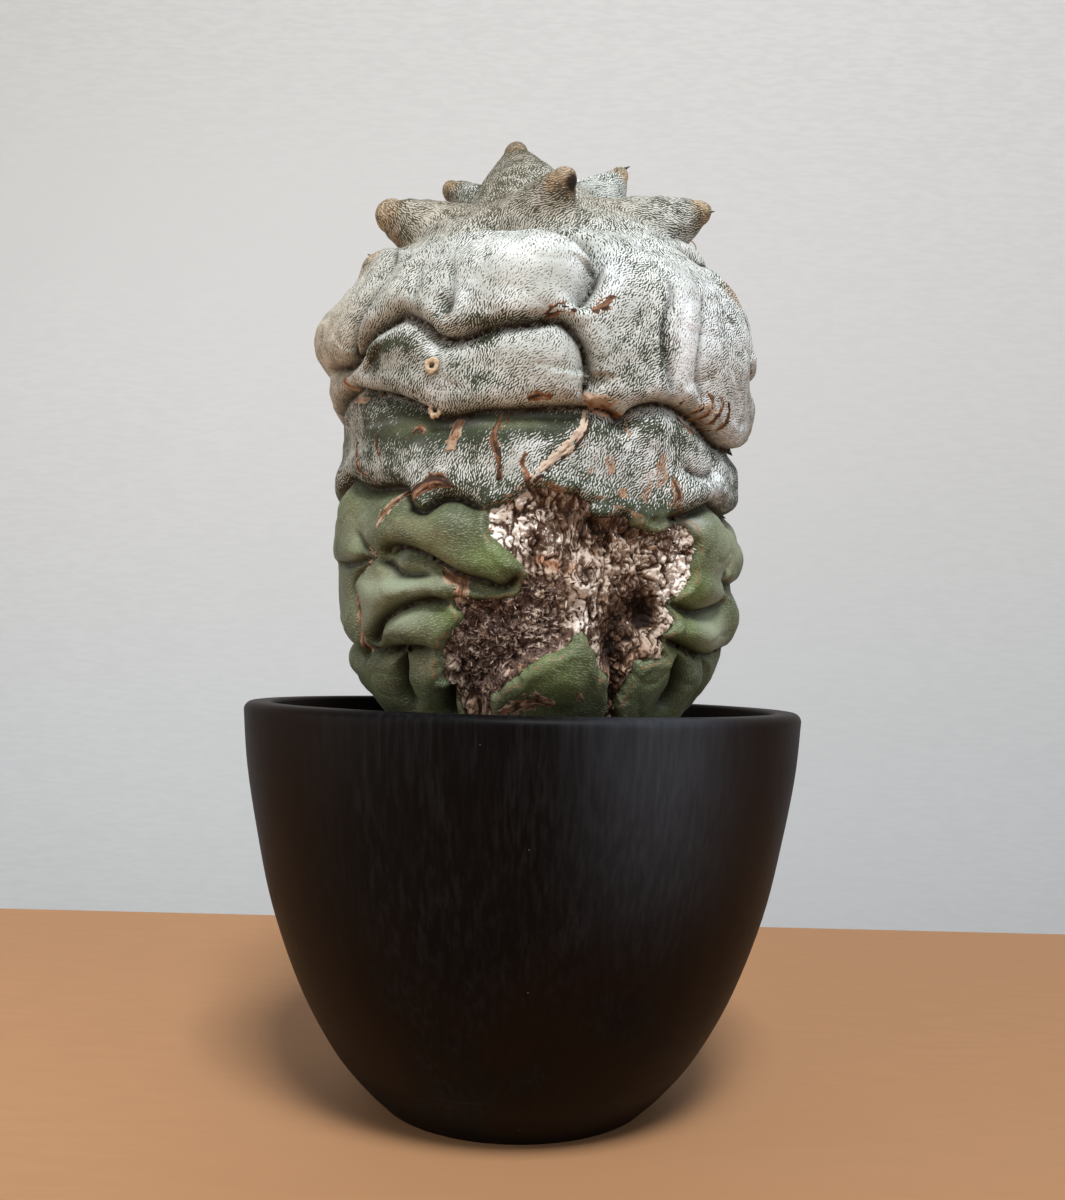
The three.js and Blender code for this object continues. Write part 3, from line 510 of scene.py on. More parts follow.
class SkinChart:
    """Charts of the skin over azimuth and distance along the crest line."""

    degrees_step: float = 0.25
    along_step: float = 0.3
    crease_reach: float = 15.0
    fold_reach: float = 1.4
    lip_reach: float = 11.0
    lip_softness: float = 1.1
    slit_width: float = 0.70
    crown_dip: float = 3.0
    route_steps: int = 4
    wound_depth: float = 3.4
    wound_bank: float = 4.5
    soil_at_stem: float = 97.0
    lump_count: int = 70
    lump_seed: int = 20261

    def __init__(self, crest: CrestLine) -> None:
        """Fills the charts.

        Args:
            crest: The stem's crest line.
        """
        self.crest = crest
        self.azimuths = np.arange(-180, 180, self.degrees_step)
        self.alongs = np.arange(0, crest.length + self.along_step, self.along_step)
        self.radii = crest.radius_at(self.alongs)
        self.heights = crest.height_at(self.alongs)
        self.layers: dict[str, Array] = {}
        self.fill_creases()
        self.fill_wound()
        self.fill_form()

    def blank(self, value: float) -> Array:
        """Returns an empty chart."""
        return np.full((len(self.alongs), len(self.azimuths)), float(value))

    def chain(self, crease: Crease) -> Array:
        """Returns a crease's route as (azimuth, along) points on a smooth curve."""
        pairs = list(crease.route)
        if crease.closed:
            pairs.append((pairs[0][0] + 360, pairs[0][1]))
        knots = [(a, float(self.crest.along_at(np.array(h)))) for a, h in pairs]
        return spline(knots, np.linspace(0, 1, (len(knots) - 1) * self.route_steps + 1))

    def nearest_on_chain(self, chain: Array, reach: float) -> tuple[Any, Array, Array, Array]:
        """Measures the chart's nodes near a chain.

        Args:
            chain: Points of (azimuth, along).
            reach: How far from the chain nodes are measured, in mm.

        Returns:
            The index of the patch, and on it the distance in mm, the side (1 above the chain,
            -1 below it) and how many steps the nearest place is from the chain's end.
        """
        low = max(int((chain[:, 1].min() - reach) / self.along_step), 0)
        high = min(int((chain[:, 1].max() + reach) / self.along_step) + 2, len(self.alongs))
        margin = reach / (max(self.radii[low:high].min(), 20) * RADIANS)
        first = int((chain[:, 0].min() - margin + 180) / self.degrees_step)
        last = int((chain[:, 0].max() + margin + 180) / self.degrees_step) + 2
        last = min(last, first + len(self.azimuths))
        columns = np.arange(first, last)
        shape = (high - low, len(columns))
        best = np.full(shape, 99.0)
        side = np.zeros(shape)
        to_end = np.zeros(shape)
        degrees = columns * self.degrees_step - 180
        for i in range(len(chain) - 1):
            (a0, s0), (a1, s1) = chain[i], chain[i + 1]
            r0 = max(int((min(s0, s1) - reach) / self.along_step) - low, 0)
            r1 = min(int((max(s0, s1) + reach) / self.along_step) + 2 - low, shape[0])
            if r1 <= r0:
                continue
            scale = (self.radii[low + r0 : low + r1] * RADIANS)[:, None]
            delta = wrap_degrees(a0 - degrees)
            near = np.abs(delta + (a1 - a0) / 2) < margin + abs(a1 - a0)
            ax = delta[near][None] * scale
            bx = ax + (a1 - a0) * scale
            ay = s0 - self.alongs[low + r0 : low + r1][:, None]
            by = ay + (s1 - s0)
            length2 = np.maximum((bx - ax) ** 2 + (by - ay) ** 2, 1e-9)
            share = np.clip(-(ax * (bx - ax) + ay * (by - ay)) / length2, 0, 1)
            x = ax + share * (bx - ax)
            y = ay + share * (by - ay)
            gap = np.hypot(x, y)
            window = np.ix_(np.arange(r0, r1), np.flatnonzero(near))
            closer = gap < best[window]
            best[window] = np.where(closer, gap, best[window])
            side[window] = np.where(closer, -np.sign(y), side[window])
            end = np.minimum(i + share, len(chain) - 1 - i - share)
            to_end[window] = np.where(closer, end, to_end[window])
        patch = np.ix_(np.arange(low, high), columns % len(self.azimuths))
        return patch, best, side, to_end

    def fill_creases(self) -> None:
        """Charts how far creases pull the skin in and how near the next crease is, for the form and
        the painted shade.
        """
        groove = self.blank(0)
        lips = self.blank(0)
        slit = self.blank(0)
        shade = self.blank(0)
        for crease in CREASES:
            patch, gap, side, to_end = self.nearest_on_chain(self.chain(crease), self.crease_reach)
            fade = np.ones_like(gap) if crease.closed else smoothstep(to_end, -1, 2.5)
            near = np.clip(1 - gap / (crease.width * self.fold_reach), 0, 1)
            fold = 1 - np.sqrt(1 - near**2)
            depth = fade * crease.depth * (0.85 * fold + 0.35 * near**2)
            groove[patch] = np.maximum(groove[patch], depth)
            if crease.shade:
                above = smoothstep(gap, 0.5 + crease.shade, 0.5) * (side > 0)
                shade[patch] = np.maximum(shade[patch], fade * above)
            side = side * (1 - np.exp(-((gap / self.lip_softness) ** 2)))
            lips[patch] += fade * crease.lip * side * np.maximum(1 - gap / self.lip_reach, 0) ** 2
            # a thin dark line along the crease: painted shadow on the skin, and a small cut in its
            # form
            line = fade * min(crease.depth / 4, 1) * np.exp(-((gap / self.slit_width) ** 2))
            slit[patch] = np.maximum(slit[patch], line)
        self.layers["crease"] = lips - groove
        self.layers["groove"] = groove
        self.layers["slit"] = slit
        self.layers["shade"] = shade

    def spot_chart(self, table: Sequence[Spot]) -> Array:
        """Returns the chart of a sum of soft spots."""
        total = self.blank(0)
        for spot in table:
            rows = np.flatnonzero(np.abs(self.heights - spot.height) < 3 * spot.tall)
            across = wrap_degrees(self.azimuths - spot.azimuth) / spot.wide
            columns = np.flatnonzero(np.abs(across) < 3)
            if len(rows) and len(columns):
                up = (self.heights[rows] - spot.height) / spot.tall
                bump = np.exp(-(up[:, None] ** 2)) * np.exp(-(across[columns][None] ** 2))
                total[np.ix_(rows, columns)] += spot.rise * bump
        return total

    def fill_wound(self) -> None:
        """Charts the signed distance into the wound's outline, in mm."""
        inside = self.blank(0).astype(bool)
        nearest = self.blank(99)
        wobble = GritNoise(5)
        rows = np.flatnonzero((self.heights > 90) & (self.heights < 170) & (self.radii > 30))
        columns = np.flatnonzero(np.abs(self.azimuths) < 65)
        window = np.ix_(rows, columns)
        scale = (self.radii[rows] * RADIANS)[:, None]
        across, up = np.meshgrid(self.azimuths[columns], self.heights[rows])
        places = np.stack([across, up], axis=-1).reshape(-1, 2)
        azimuth = across + 1.2 * wobble.layered(places, 4.5).reshape(up.shape) / scale
        height = up + 1.2 * wobble.layered(places + 40, 4.5).reshape(up.shape)
        for i, (a0, h0) in enumerate(WOUND_OUTLINE):
            a1, h1 = WOUND_OUTLINE[(i + 1) % len(WOUND_OUTLINE)]
            ax = (a0 - azimuth) * scale
            bx = ax + (a1 - a0) * scale
            ay = h0 - height
            by = h1 - height
            crosses = (ay > 0) != (by > 0)
            meets = ax + (bx - ax) * -ay / np.where(by == ay, 1, by - ay) > 0
            inside[window] ^= crosses & meets
            length2 = (bx - ax) ** 2 + (by - ay) ** 2
            share = np.clip(-(ax * (bx - ax) + ay * (by - ay)) / length2, 0, 1)
            gap = np.hypot(ax + share * (bx - ax), ay + share * (by - ay))
            nearest[window] = np.minimum(nearest[window], gap)
        self.layers["wound"] = np.where(inside, nearest, -nearest) - self.spot_chart(ISLANDS)

    def fill_form(self) -> None:
        """Charts the offset of the skin and of the cork from the crest line."""
        angle = self.azimuths[None] * RADIANS
        height = self.heights[:, None]
        waves = 0.5 * np.sin(2 * angle + height / 13) + 0.4 * np.sin(5 * angle - height / 9 + 1.3)
        waves = waves + 0.3 * np.sin(9 * angle + height / 6)
        swell = self.spot_chart(SWELLS)
        rooted = smoothstep(height, self.soil_at_stem, self.soil_at_stem + 5)
        hold = rooted * smoothstep(self.radii[:, None], 0, 24)
        skin = self.layers["crease"] + swell + waves - 0.8 * self.layers["slit"]
        lumps = self.spot_chart(self.lumps())
        cork = 0.3 * swell - self.wound_depth + self.spot_chart(WOUND_RELIEF) + lumps
        wound = self.layers["wound"]
        lip = 0.7 * np.exp(-(((wound + 1.6) / 1.4) ** 2))
        sunk = smoothstep(wound, -0.2, 1.8)
        covered = cork - 2.2
        dip = self.crown_dip * smoothstep(height, 228, 239)
        self.layers["skin"] = hold * ((skin + lip) * (1 - sunk) + covered * sunk) - dip
        grown = smoothstep(wound, -0.5, self.wound_bank)
        self.layers["cork"] = hold * ((skin - 0.8) * (1 - grown) + cork * grown) - dip

    def lumps(self) -> list[Spot]:
        """Returns small lumps of cork scattered over the wound."""
        draw = np.random.default_rng(self.lump_seed).random
        return [
            Spot(-26 + 72 * draw(), 100 + 55 * draw(), 3.4 + 1.8 * draw(), 3.2 + 1.6 * draw(),
                 -1 + 2.2 * draw())
            for _ in range(self.lump_count)
        ]

    def read_spots(self, table: Sequence[Spot], azimuth: Array, along: Array) -> Array:
        """Reads a sum of soft spots at places on the skin."""
        self.layers["spots"] = self.spot_chart(table)
        return self.read("spots", azimuth, along)

    def read(self, layer: str, azimuth: Array, along: Array) -> Array:
        """Reads a chart between its nodes.

        Args:
            layer: The chart's name.
            azimuth: Azimuths in degrees.
            along: Distances along the crest line in mm.

        Returns:
            One value for each place.
        """
        chart = self.layers[layer]
        x = (wrap_degrees(azimuth) + 180) / self.degrees_step
        y = np.clip(along / self.along_step, 0, chart.shape[0] - 1.001)
        x0 = np.floor(x).astype(int)
        y0 = np.floor(y).astype(int)
        fx = x - x0
        fy = y - y0
        left = x0 % chart.shape[1]
        right = (x0 + 1) % chart.shape[1]
        low = chart[y0, left] * (1 - fx) + chart[y0, right] * fx
        high = chart[y0 + 1, left] * (1 - fx) + chart[y0 + 1, right] * fx
        return low * (1 - fy) + high * fy


class StemForm:
    """The finished surface of the stem: skin, horns and the saddles between them."""

    saddle: float = 3.2
    axis_steps: int = 20

    def __init__(self) -> None:
        """Prepares the crest line, the charts and the horns' axes."""
        self.crest = CrestLine()
        self.chart = SkinChart(self.crest)
        self.grain = GritNoise(11)
        shares = np.linspace(0, 1, self.axis_steps + 1)
        self.axes = [self.horn_axis(horn, shares) for horn in HORNS]

    @staticmethod
    def horn_axis(horn: Horn, share: Array) -> Array:
        """Returns points on the bent axis of a horn."""
        root, knee, tip = (np.array(p, float) for p in (horn.root, horn.knee, horn.tip))
        t = np.asarray(share, float)[:, None]
        return (1 - t) ** 2 * root + 2 * t * (1 - t) * knee + t**2 * tip

    def unevenness(self, points: Array) -> Array:
        """Returns the skin's unevenness in mm: soft dents, pinched folds and small bumps."""
        dents = 0.8 * self.grain.at(points, 15.0) + 0.30 * self.grain.at(points, 6.5)
        pinch = np.maximum(1 - 5.5 * np.abs(self.grain.at(points + 50, 12.0)), 0) ** 2
        return dents - 0.35 * pinch + 0.12 * self.grain.at(points, 2.6)

    def skin_offset(self, azimuth: Array, along: Array, layer: str = "skin") -> Array:
        """Returns how far a charted surface stands out from the crest line."""
        points = self.crest.point(azimuth, along, np.zeros_like(along))
        return self.chart.read(layer, azimuth, along) + self.unevenness(points)

    def surface(self, azimuth: Array, along: Array, lift: Any = 0.0, layer: str = "skin") -> Array:
        """Returns points of a charted surface, lifted off it by so many mm."""
        offset = self.skin_offset(azimuth, along, layer) + lift
        return self.crest.point(azimuth, along, offset)

    def body_gap(self, points: Array) -> Array:
        """Returns the distance of points outside the stem without its horns."""
        azimuth, along, offset = self.crest.coordinates(points)
        return offset - self.skin_offset(azimuth, along)

    def horn_gap(self, number: int, points: Array) -> tuple[Array, Array]:
        """Measures points against one horn.

        Args:
            number: The horn's place in the list.
            points: Rows of x, y and z in mm.

        Returns:
            The distance outside the horn, and the direction of its axis there.
        """
        horn = HORNS[number]
        axis = self.axes[number]
        start = axis[:-1]
        step = axis[1:] - start
        gap2 = np.full(len(points), 1e9)
        share = np.zeros(len(points))
        for i in range(self.axis_steps):
            to_point = points - start[i]
            t = np.clip(to_point @ step[i] / (step[i] @ step[i]), 0, 1)
            d2 = ((to_point - t[:, None] * step[i]) ** 2).sum(axis=1)
            closer = d2 < gap2
            gap2 = np.where(closer, d2, gap2)
            share = np.where(closer, (i + t) / self.axis_steps, share)
        radius = horn.end + (horn.foot - horn.end) * (1 - share) ** horn.flare
        index = np.minimum((share * self.axis_steps).astype(int), self.axis_steps - 1)
        return np.sqrt(gap2) - radius, unit(step)[index]

    def gap(self, points: Array) -> Array:
        """Returns the distance of points outside the stem with its horns."""
        total = self.body_gap(points)
        high = points[:, 2] > HORNS_ABOVE
        near = points[high]
        joined = total[high]
        for number in range(len(HORNS)):
            horn, _ = self.horn_gap(number, near)
            mix = np.clip(0.5 + 0.5 * (joined - horn) / self.saddle, 0, 1)
            joined = joined * (1 - mix) + horn * mix - self.saddle * mix * (1 - mix)
        crown = smoothstep(near[:, 2], 222, 230)
        total[high] = joined - 0.35 * crown * self.grain.at(near, 3.4)
        return total


# Working with Blender's meshes


def deselect_all() -> None:
    """Leaves no object selected or active."""
    bpy.ops.object.select_all(action="DESELECT")
    bpy.context.view_layer.objects.active = None


def pick(piece: Piece) -> Piece:
    """Selects one piece alone, makes it active and returns it."""
    deselect_all()
    piece.select_set(True)
    bpy.context.view_layer.objects.active = piece
    return piece


def name_new(name: str) -> Piece:
    """Names the primitive that was just added and returns it."""
    piece = bpy.context.active_object
    piece.name = name
    piece.data.name = name
    return piece


def read_points(piece: Piece) -> Array:
    """Returns a piece's vertices as rows in mm."""
    flat = np.zeros(len(piece.data.vertices) * 3)
    piece.data.vertices.foreach_get("co", flat)
    return flat.reshape(-1, 3) / MM


def write_points(piece: Piece, points: Array) -> None:
    """Moves a piece's vertices to rows of points in mm."""
    piece.data.vertices.foreach_set("co", (points * MM).ravel())
    piece.data.update()


def read_normals(piece: Piece) -> Array:
    """Returns a piece's vertex normals."""
    flat = np.zeros(len(piece.data.vertices) * 3)
    piece.data.vertex_normals.foreach_get("vector", flat)
    return flat.reshape(-1, 3)


def add_values(piece: Piece, name: str, values: Array) -> None:
    """Stores one number or one vector for each vertex under a name."""
    vector = values.ndim == 2
    kind = "FLOAT_VECTOR" if vector else "FLOAT"
    attribute = piece.data.attributes.new(name, kind, "POINT")
    attribute.data.foreach_set("vector" if vector else "value", values.astype(np.float32).ravel())


def apply_modifier(piece: Piece, kind: str, **settings: Any) -> None:
    """Adds one modifier to a piece and applies it."""
    pick(piece)
    modifier = piece.modifiers.new(kind.lower(), kind)
    for key, value in settings.items():
        setattr(modifier, key, value)
    bpy.ops.object.modifier_apply(modifier=modifier.name)


def turn_outline(name: str, outline: Sequence[tuple[float, float]], sides: int, fill: str) -> Piece:
    """Draws a ring through an outline, and leaves the piece in edit mode.

    Args:
        name: The piece's name.
        outline: Its (radius, height) in mm, from the first ring to the last.
        sides: How many sides each ring has.
        fill: How the first ring is filled, in Blender's word.

    Returns:
        The piece.
    """
    deselect_all()
    radius, height = outline[0]
    bpy.ops.mesh.primitive_circle_add(
        vertices=sides, radius=radius * MM, fill_type=fill, location=(0, 0, height * MM)
    )
    piece = name_new(name)
    bpy.ops.object.transform_apply(location=True)
    bpy.ops.object.mode_set(mode="EDIT")
    bpy.ops.mesh.select_all(action="SELECT")
    for (r0, h0), (r1, h1) in zip(outline, outline[1:]):
        bpy.ops.mesh.extrude_region_move(TRANSFORM_OT_translate={"value": (0, 0, (h1 - h0) * MM)})
        bpy.ops.transform.resize(value=(r1 / r0, r1 / r0, 1), center_override=(0, 0, h1 * MM))
    return piece


def close_editing() -> None:
    """Turns all faces outwards and leaves edit mode."""
    bpy.ops.mesh.select_all(action="SELECT")
    bpy.ops.mesh.normals_make_consistent(inside=False)
    bpy.ops.object.mode_set(mode="OBJECT")


def lumpy_ball(name: str, seed: int, unevenness: float, size: float) -> Piece:
    """Returns a ball 2 mm across at the origin, made uneven by noise of a size in mm."""
    deselect_all()
    bpy.ops.mesh.primitive_ico_sphere_add(subdivisions=1, radius=MM)
    ball = name_new(name)
    points = read_points(ball)
    write_points(ball, points * (1 + unevenness * GritNoise(seed).at(points, size)[:, None]))
    return ball


def join_copies(name: str, shapes: Sequence[Piece], copies: Sequence[tuple[Piece, Array]]) -> Piece:
    """Puts copies of small shapes into one piece.

    Args:
        name: The piece's name.
        shapes: The shapes. The first becomes the piece and the others are removed.
        copies: Pairs of a shape and the vertices in mm of one copy of it, or of more in a row.

    Returns:
        The piece.
    """
    faces = []
    start = 0
    for shape, vertices in copies:
        pattern = np.array([face.vertices[:] for face in shape.data.polygons])
        steps = start + np.arange(0, len(vertices), len(shape.data.vertices))
        faces.append((pattern[None] + steps[:, None, None]).reshape(-1, 3))
        start += len(vertices)
    points = np.concatenate([vertices for _, vertices in copies])
    mesh = bpy.data.meshes.new(name)
    mesh.from_pydata((points * MM).tolist(), [], np.concatenate(faces).tolist())
    piece = shapes[0]
    piece.data = mesh
    piece.name = name
    for shape in shapes[1:]:
        bpy.data.objects.remove(shape)
    return piece


def join_pieces(pieces: Sequence[Piece], name: str) -> Piece:
    """Joins pieces into the first of them and names the result."""
    deselect_all()
    for piece in pieces:
        piece.select_set(True)
    bpy.context.view_layer.objects.active = pieces[0]
    if len(pieces) > 1:
        bpy.ops.object.join()
    return name_new(name)


def delete_vertices(piece: Piece, chosen: Array) -> None:
    """Deletes the chosen vertices of a piece."""
    pick(piece)
    piece.data.polygons.foreach_set("select", np.zeros(len(piece.data.polygons), bool))
    piece.data.edges.foreach_set("select", np.zeros(len(piece.data.edges), bool))
    piece.data.vertices.foreach_set("select", chosen)
    bpy.ops.object.mode_set(mode="EDIT")
    bpy.ops.mesh.select_mode(type="VERT")
    bpy.ops.mesh.delete(type="VERT")
    bpy.ops.object.mode_set(mode="OBJECT")


def triangle_count(piece: Piece) -> int:
    """Returns how many triangles a piece has."""
    return sum(len(face.vertices) - 2 for face in piece.data.polygons)


def finish_piece(
    piece: Piece,
    material: Material,
    smooth: bool = True,
) -> Piece:
    """Gives a piece its material, shading and body.

    Args:
        piece: The piece.
        material: Its material.
        smooth: Whether it is shaded smooth.

    Returns:
        The piece.
    """
    piece.data.materials.clear()
    piece.data.materials.append(material)
    pick(piece)
    if smooth:
        bpy.ops.object.shade_smooth()
    else:
        bpy.ops.object.shade_flat()
    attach(piece, "root")
    log.info("%s: %d triangles", piece.name, triangle_count(piece))
    return piece


# Materials


class Wire:
    """One output of a shader node, with Python's arithmetic."""

    def __init__(self, maker: "ShaderMaker", socket: bpy.types.NodeSocket) -> None:
        """Wraps a socket of one material's tree."""
        self.maker = maker
        self.socket = socket

    def math(self, operation: str, *values: Any) -> "Wire":
        """Returns a Math node's result on the given values."""
        return self.maker.node("ShaderNodeMath", {"operation": operation}, dict(enumerate(values)))

    def __add__(self, other: Any) -> "Wire":
        """Adds."""
        return self.math("ADD", self, other)

    __radd__ = __add__

    def __sub__(self, other: Any) -> "Wire":
        """Subtracts."""
        return self.math("SUBTRACT", self, other)

    def __rsub__(self, other: Any) -> "Wire":
        """Subtracts, reflected."""
        return self.math("SUBTRACT", other, self)

    def __mul__(self, other: Any) -> "Wire":
        """Multiplies."""
        return self.math("MULTIPLY", self, other)

    def __abs__(self) -> "Wire":
        """Drops the sign."""
        return self.math("ABSOLUTE", self)

    def clamp(self) -> "Wire":
        """Returns the value kept within 0 to 1."""
        return self.math("MINIMUM", self.math("MAXIMUM", self, 0.0), 1.0)

    def step(self, low: Any, high: Any) -> "Wire":
        """Returns a smooth step from 0 at low to 1 at high."""
        return self.maker.node(
            "ShaderNodeMapRange",
            {"interpolation_type": "SMOOTHSTEP"},
            {"Value": self, "From Min": low, "From Max": high},
        )


class ShaderMaker:
    """Builds one material's node tree."""

    def __init__(self, name: str) -> None:
        """Starts an empty material."""
        self.material = bpy.data.materials.new(name)
        self.material.use_nodes = True
        self.tree = self.material.node_tree
        self.tree.nodes.clear()

    def node(
        self,
        kind: str,
        settings: Optional[Mapping[str, Any]] = None,
        inputs: Optional[Mapping[Any, Any]] = None,
        output: Any = 0,
    ) -> Wire:
        """Adds one node.

        Args:
            kind: The node's type.
            settings: Its properties, set before its sockets.
            inputs: Values or wires by socket name, identifier or number.
            output: The name or number of the output to return.

        Returns:
            The chosen output.
        """
        node = self.tree.nodes.new(kind)
        for key, value in (settings or {}).items():
            setattr(node, key, value)
        for key, value in (inputs or {}).items():
            socket = self.find_socket(node.inputs, key)
            if isinstance(value, Wire):
                self.tree.links.new(value.socket, socket)
            elif isinstance(value, tuple) and socket.type == "RGBA" and len(value) == 3:
                socket.default_value = (*value, 1)
            else:
                socket.default_value = value
        return Wire(self, self.find_socket(node.outputs, output) if len(node.outputs) else None)

    @staticmethod
    def find_socket(sockets: Any, key: Any) -> bpy.types.NodeSocket:
        """Returns a socket by number, identifier or name."""
        if isinstance(key, int):
            return sockets[key]
        for socket in sockets:
            if socket.identifier == key:
                return socket
        return sockets[key]

    def axis(self, vector: Wire, name: str) -> Wire:
        """Returns one coordinate of a vector."""
        return self.node("ShaderNodeSeparateXYZ", {}, {"Vector": vector}, name)

    def coordinates(self) -> Wire:
        """Returns object coordinates, in metres."""
        return self.node("ShaderNodeTexCoord", output="Object")

    def stretched(self, scale: tuple[float, float, float]) -> Wire:
        """Returns object coordinates scaled along each axis."""
        return self.node("ShaderNodeMapping", {}, {"Vector": self.coordinates(), "Scale": scale})

    def value(self, name: str) -> Wire:
        """Returns a number stored on the mesh."""
        return self.node("ShaderNodeAttribute", {"attribute_name": name}, output="Fac")

    def direction(self, name: str) -> Wire:
        """Returns a vector stored on the mesh."""
        return self.node("ShaderNodeAttribute", {"attribute_name": name}, output="Vector")

    def noise(self, vector: Wire, size_mm: float, detail: float = 2.0, rough: float = 0.5) -> Wire:
        """Returns noise from 0 to 1 whose bumps are about size_mm apart."""
        return self.node(
            "ShaderNodeTexNoise",
            {},
            {"Vector": vector, "Scale": 1 / (size_mm * MM), "Detail": detail, "Roughness": rough},
        )

    def cells(self, vector: Wire, size_mm: float, output: str = "Distance") -> Wire:
        """Returns a Voronoi pattern whose cells are about size_mm wide."""
        return self.node(
            "ShaderNodeTexVoronoi", {}, {"Vector": vector, "Scale": 1 / (size_mm * MM)}, output
        )

    def mix(self, factor: Any, first: Any, second: Any, blend: str = "MIX") -> Wire:
        """Mixes two colours."""
        return self.node(
            "ShaderNodeMix",
            {"data_type": "RGBA", "blend_type": blend, "clamp_factor": True},
            {"Factor_Float": factor, "A_Color": first, "B_Color": second},
            "Result_Color",
        )

    def bump(self, height: Wire, distance_mm: float, strength: float = 1.0) -> Wire:
        """Returns a bumped normal for a height from 0 to 1 that stands for distance_mm."""
        inputs = {"Height": height, "Distance": distance_mm * MM, "Strength": strength}
        return self.node("ShaderNodeBump", {}, inputs)

    def finish(
        self,
        colour: Any,
        roughness: Any,
        normal: Optional[Wire] = None,
        **fixed: Any,
    ) -> Material:
        """Closes the tree with a Principled shader.

        Args:
            colour: The base colour.
            roughness: The roughness.
            normal: A bumped normal.
            fixed: Plain values for further sockets, with underscores for spaces.

        Returns:
            The material.
        """
        inputs = {"Base Color": colour, "Roughness": roughness}
        inputs.update({key.replace("_", " "): value for key, value in fixed.items()})
        if normal is not None:
            inputs["Normal"] = normal
        shader = self.node("ShaderNodeBsdfPrincipled", {}, inputs)
        self.node("ShaderNodeOutputMaterial", {}, {"Surface": shader})
        return self.material


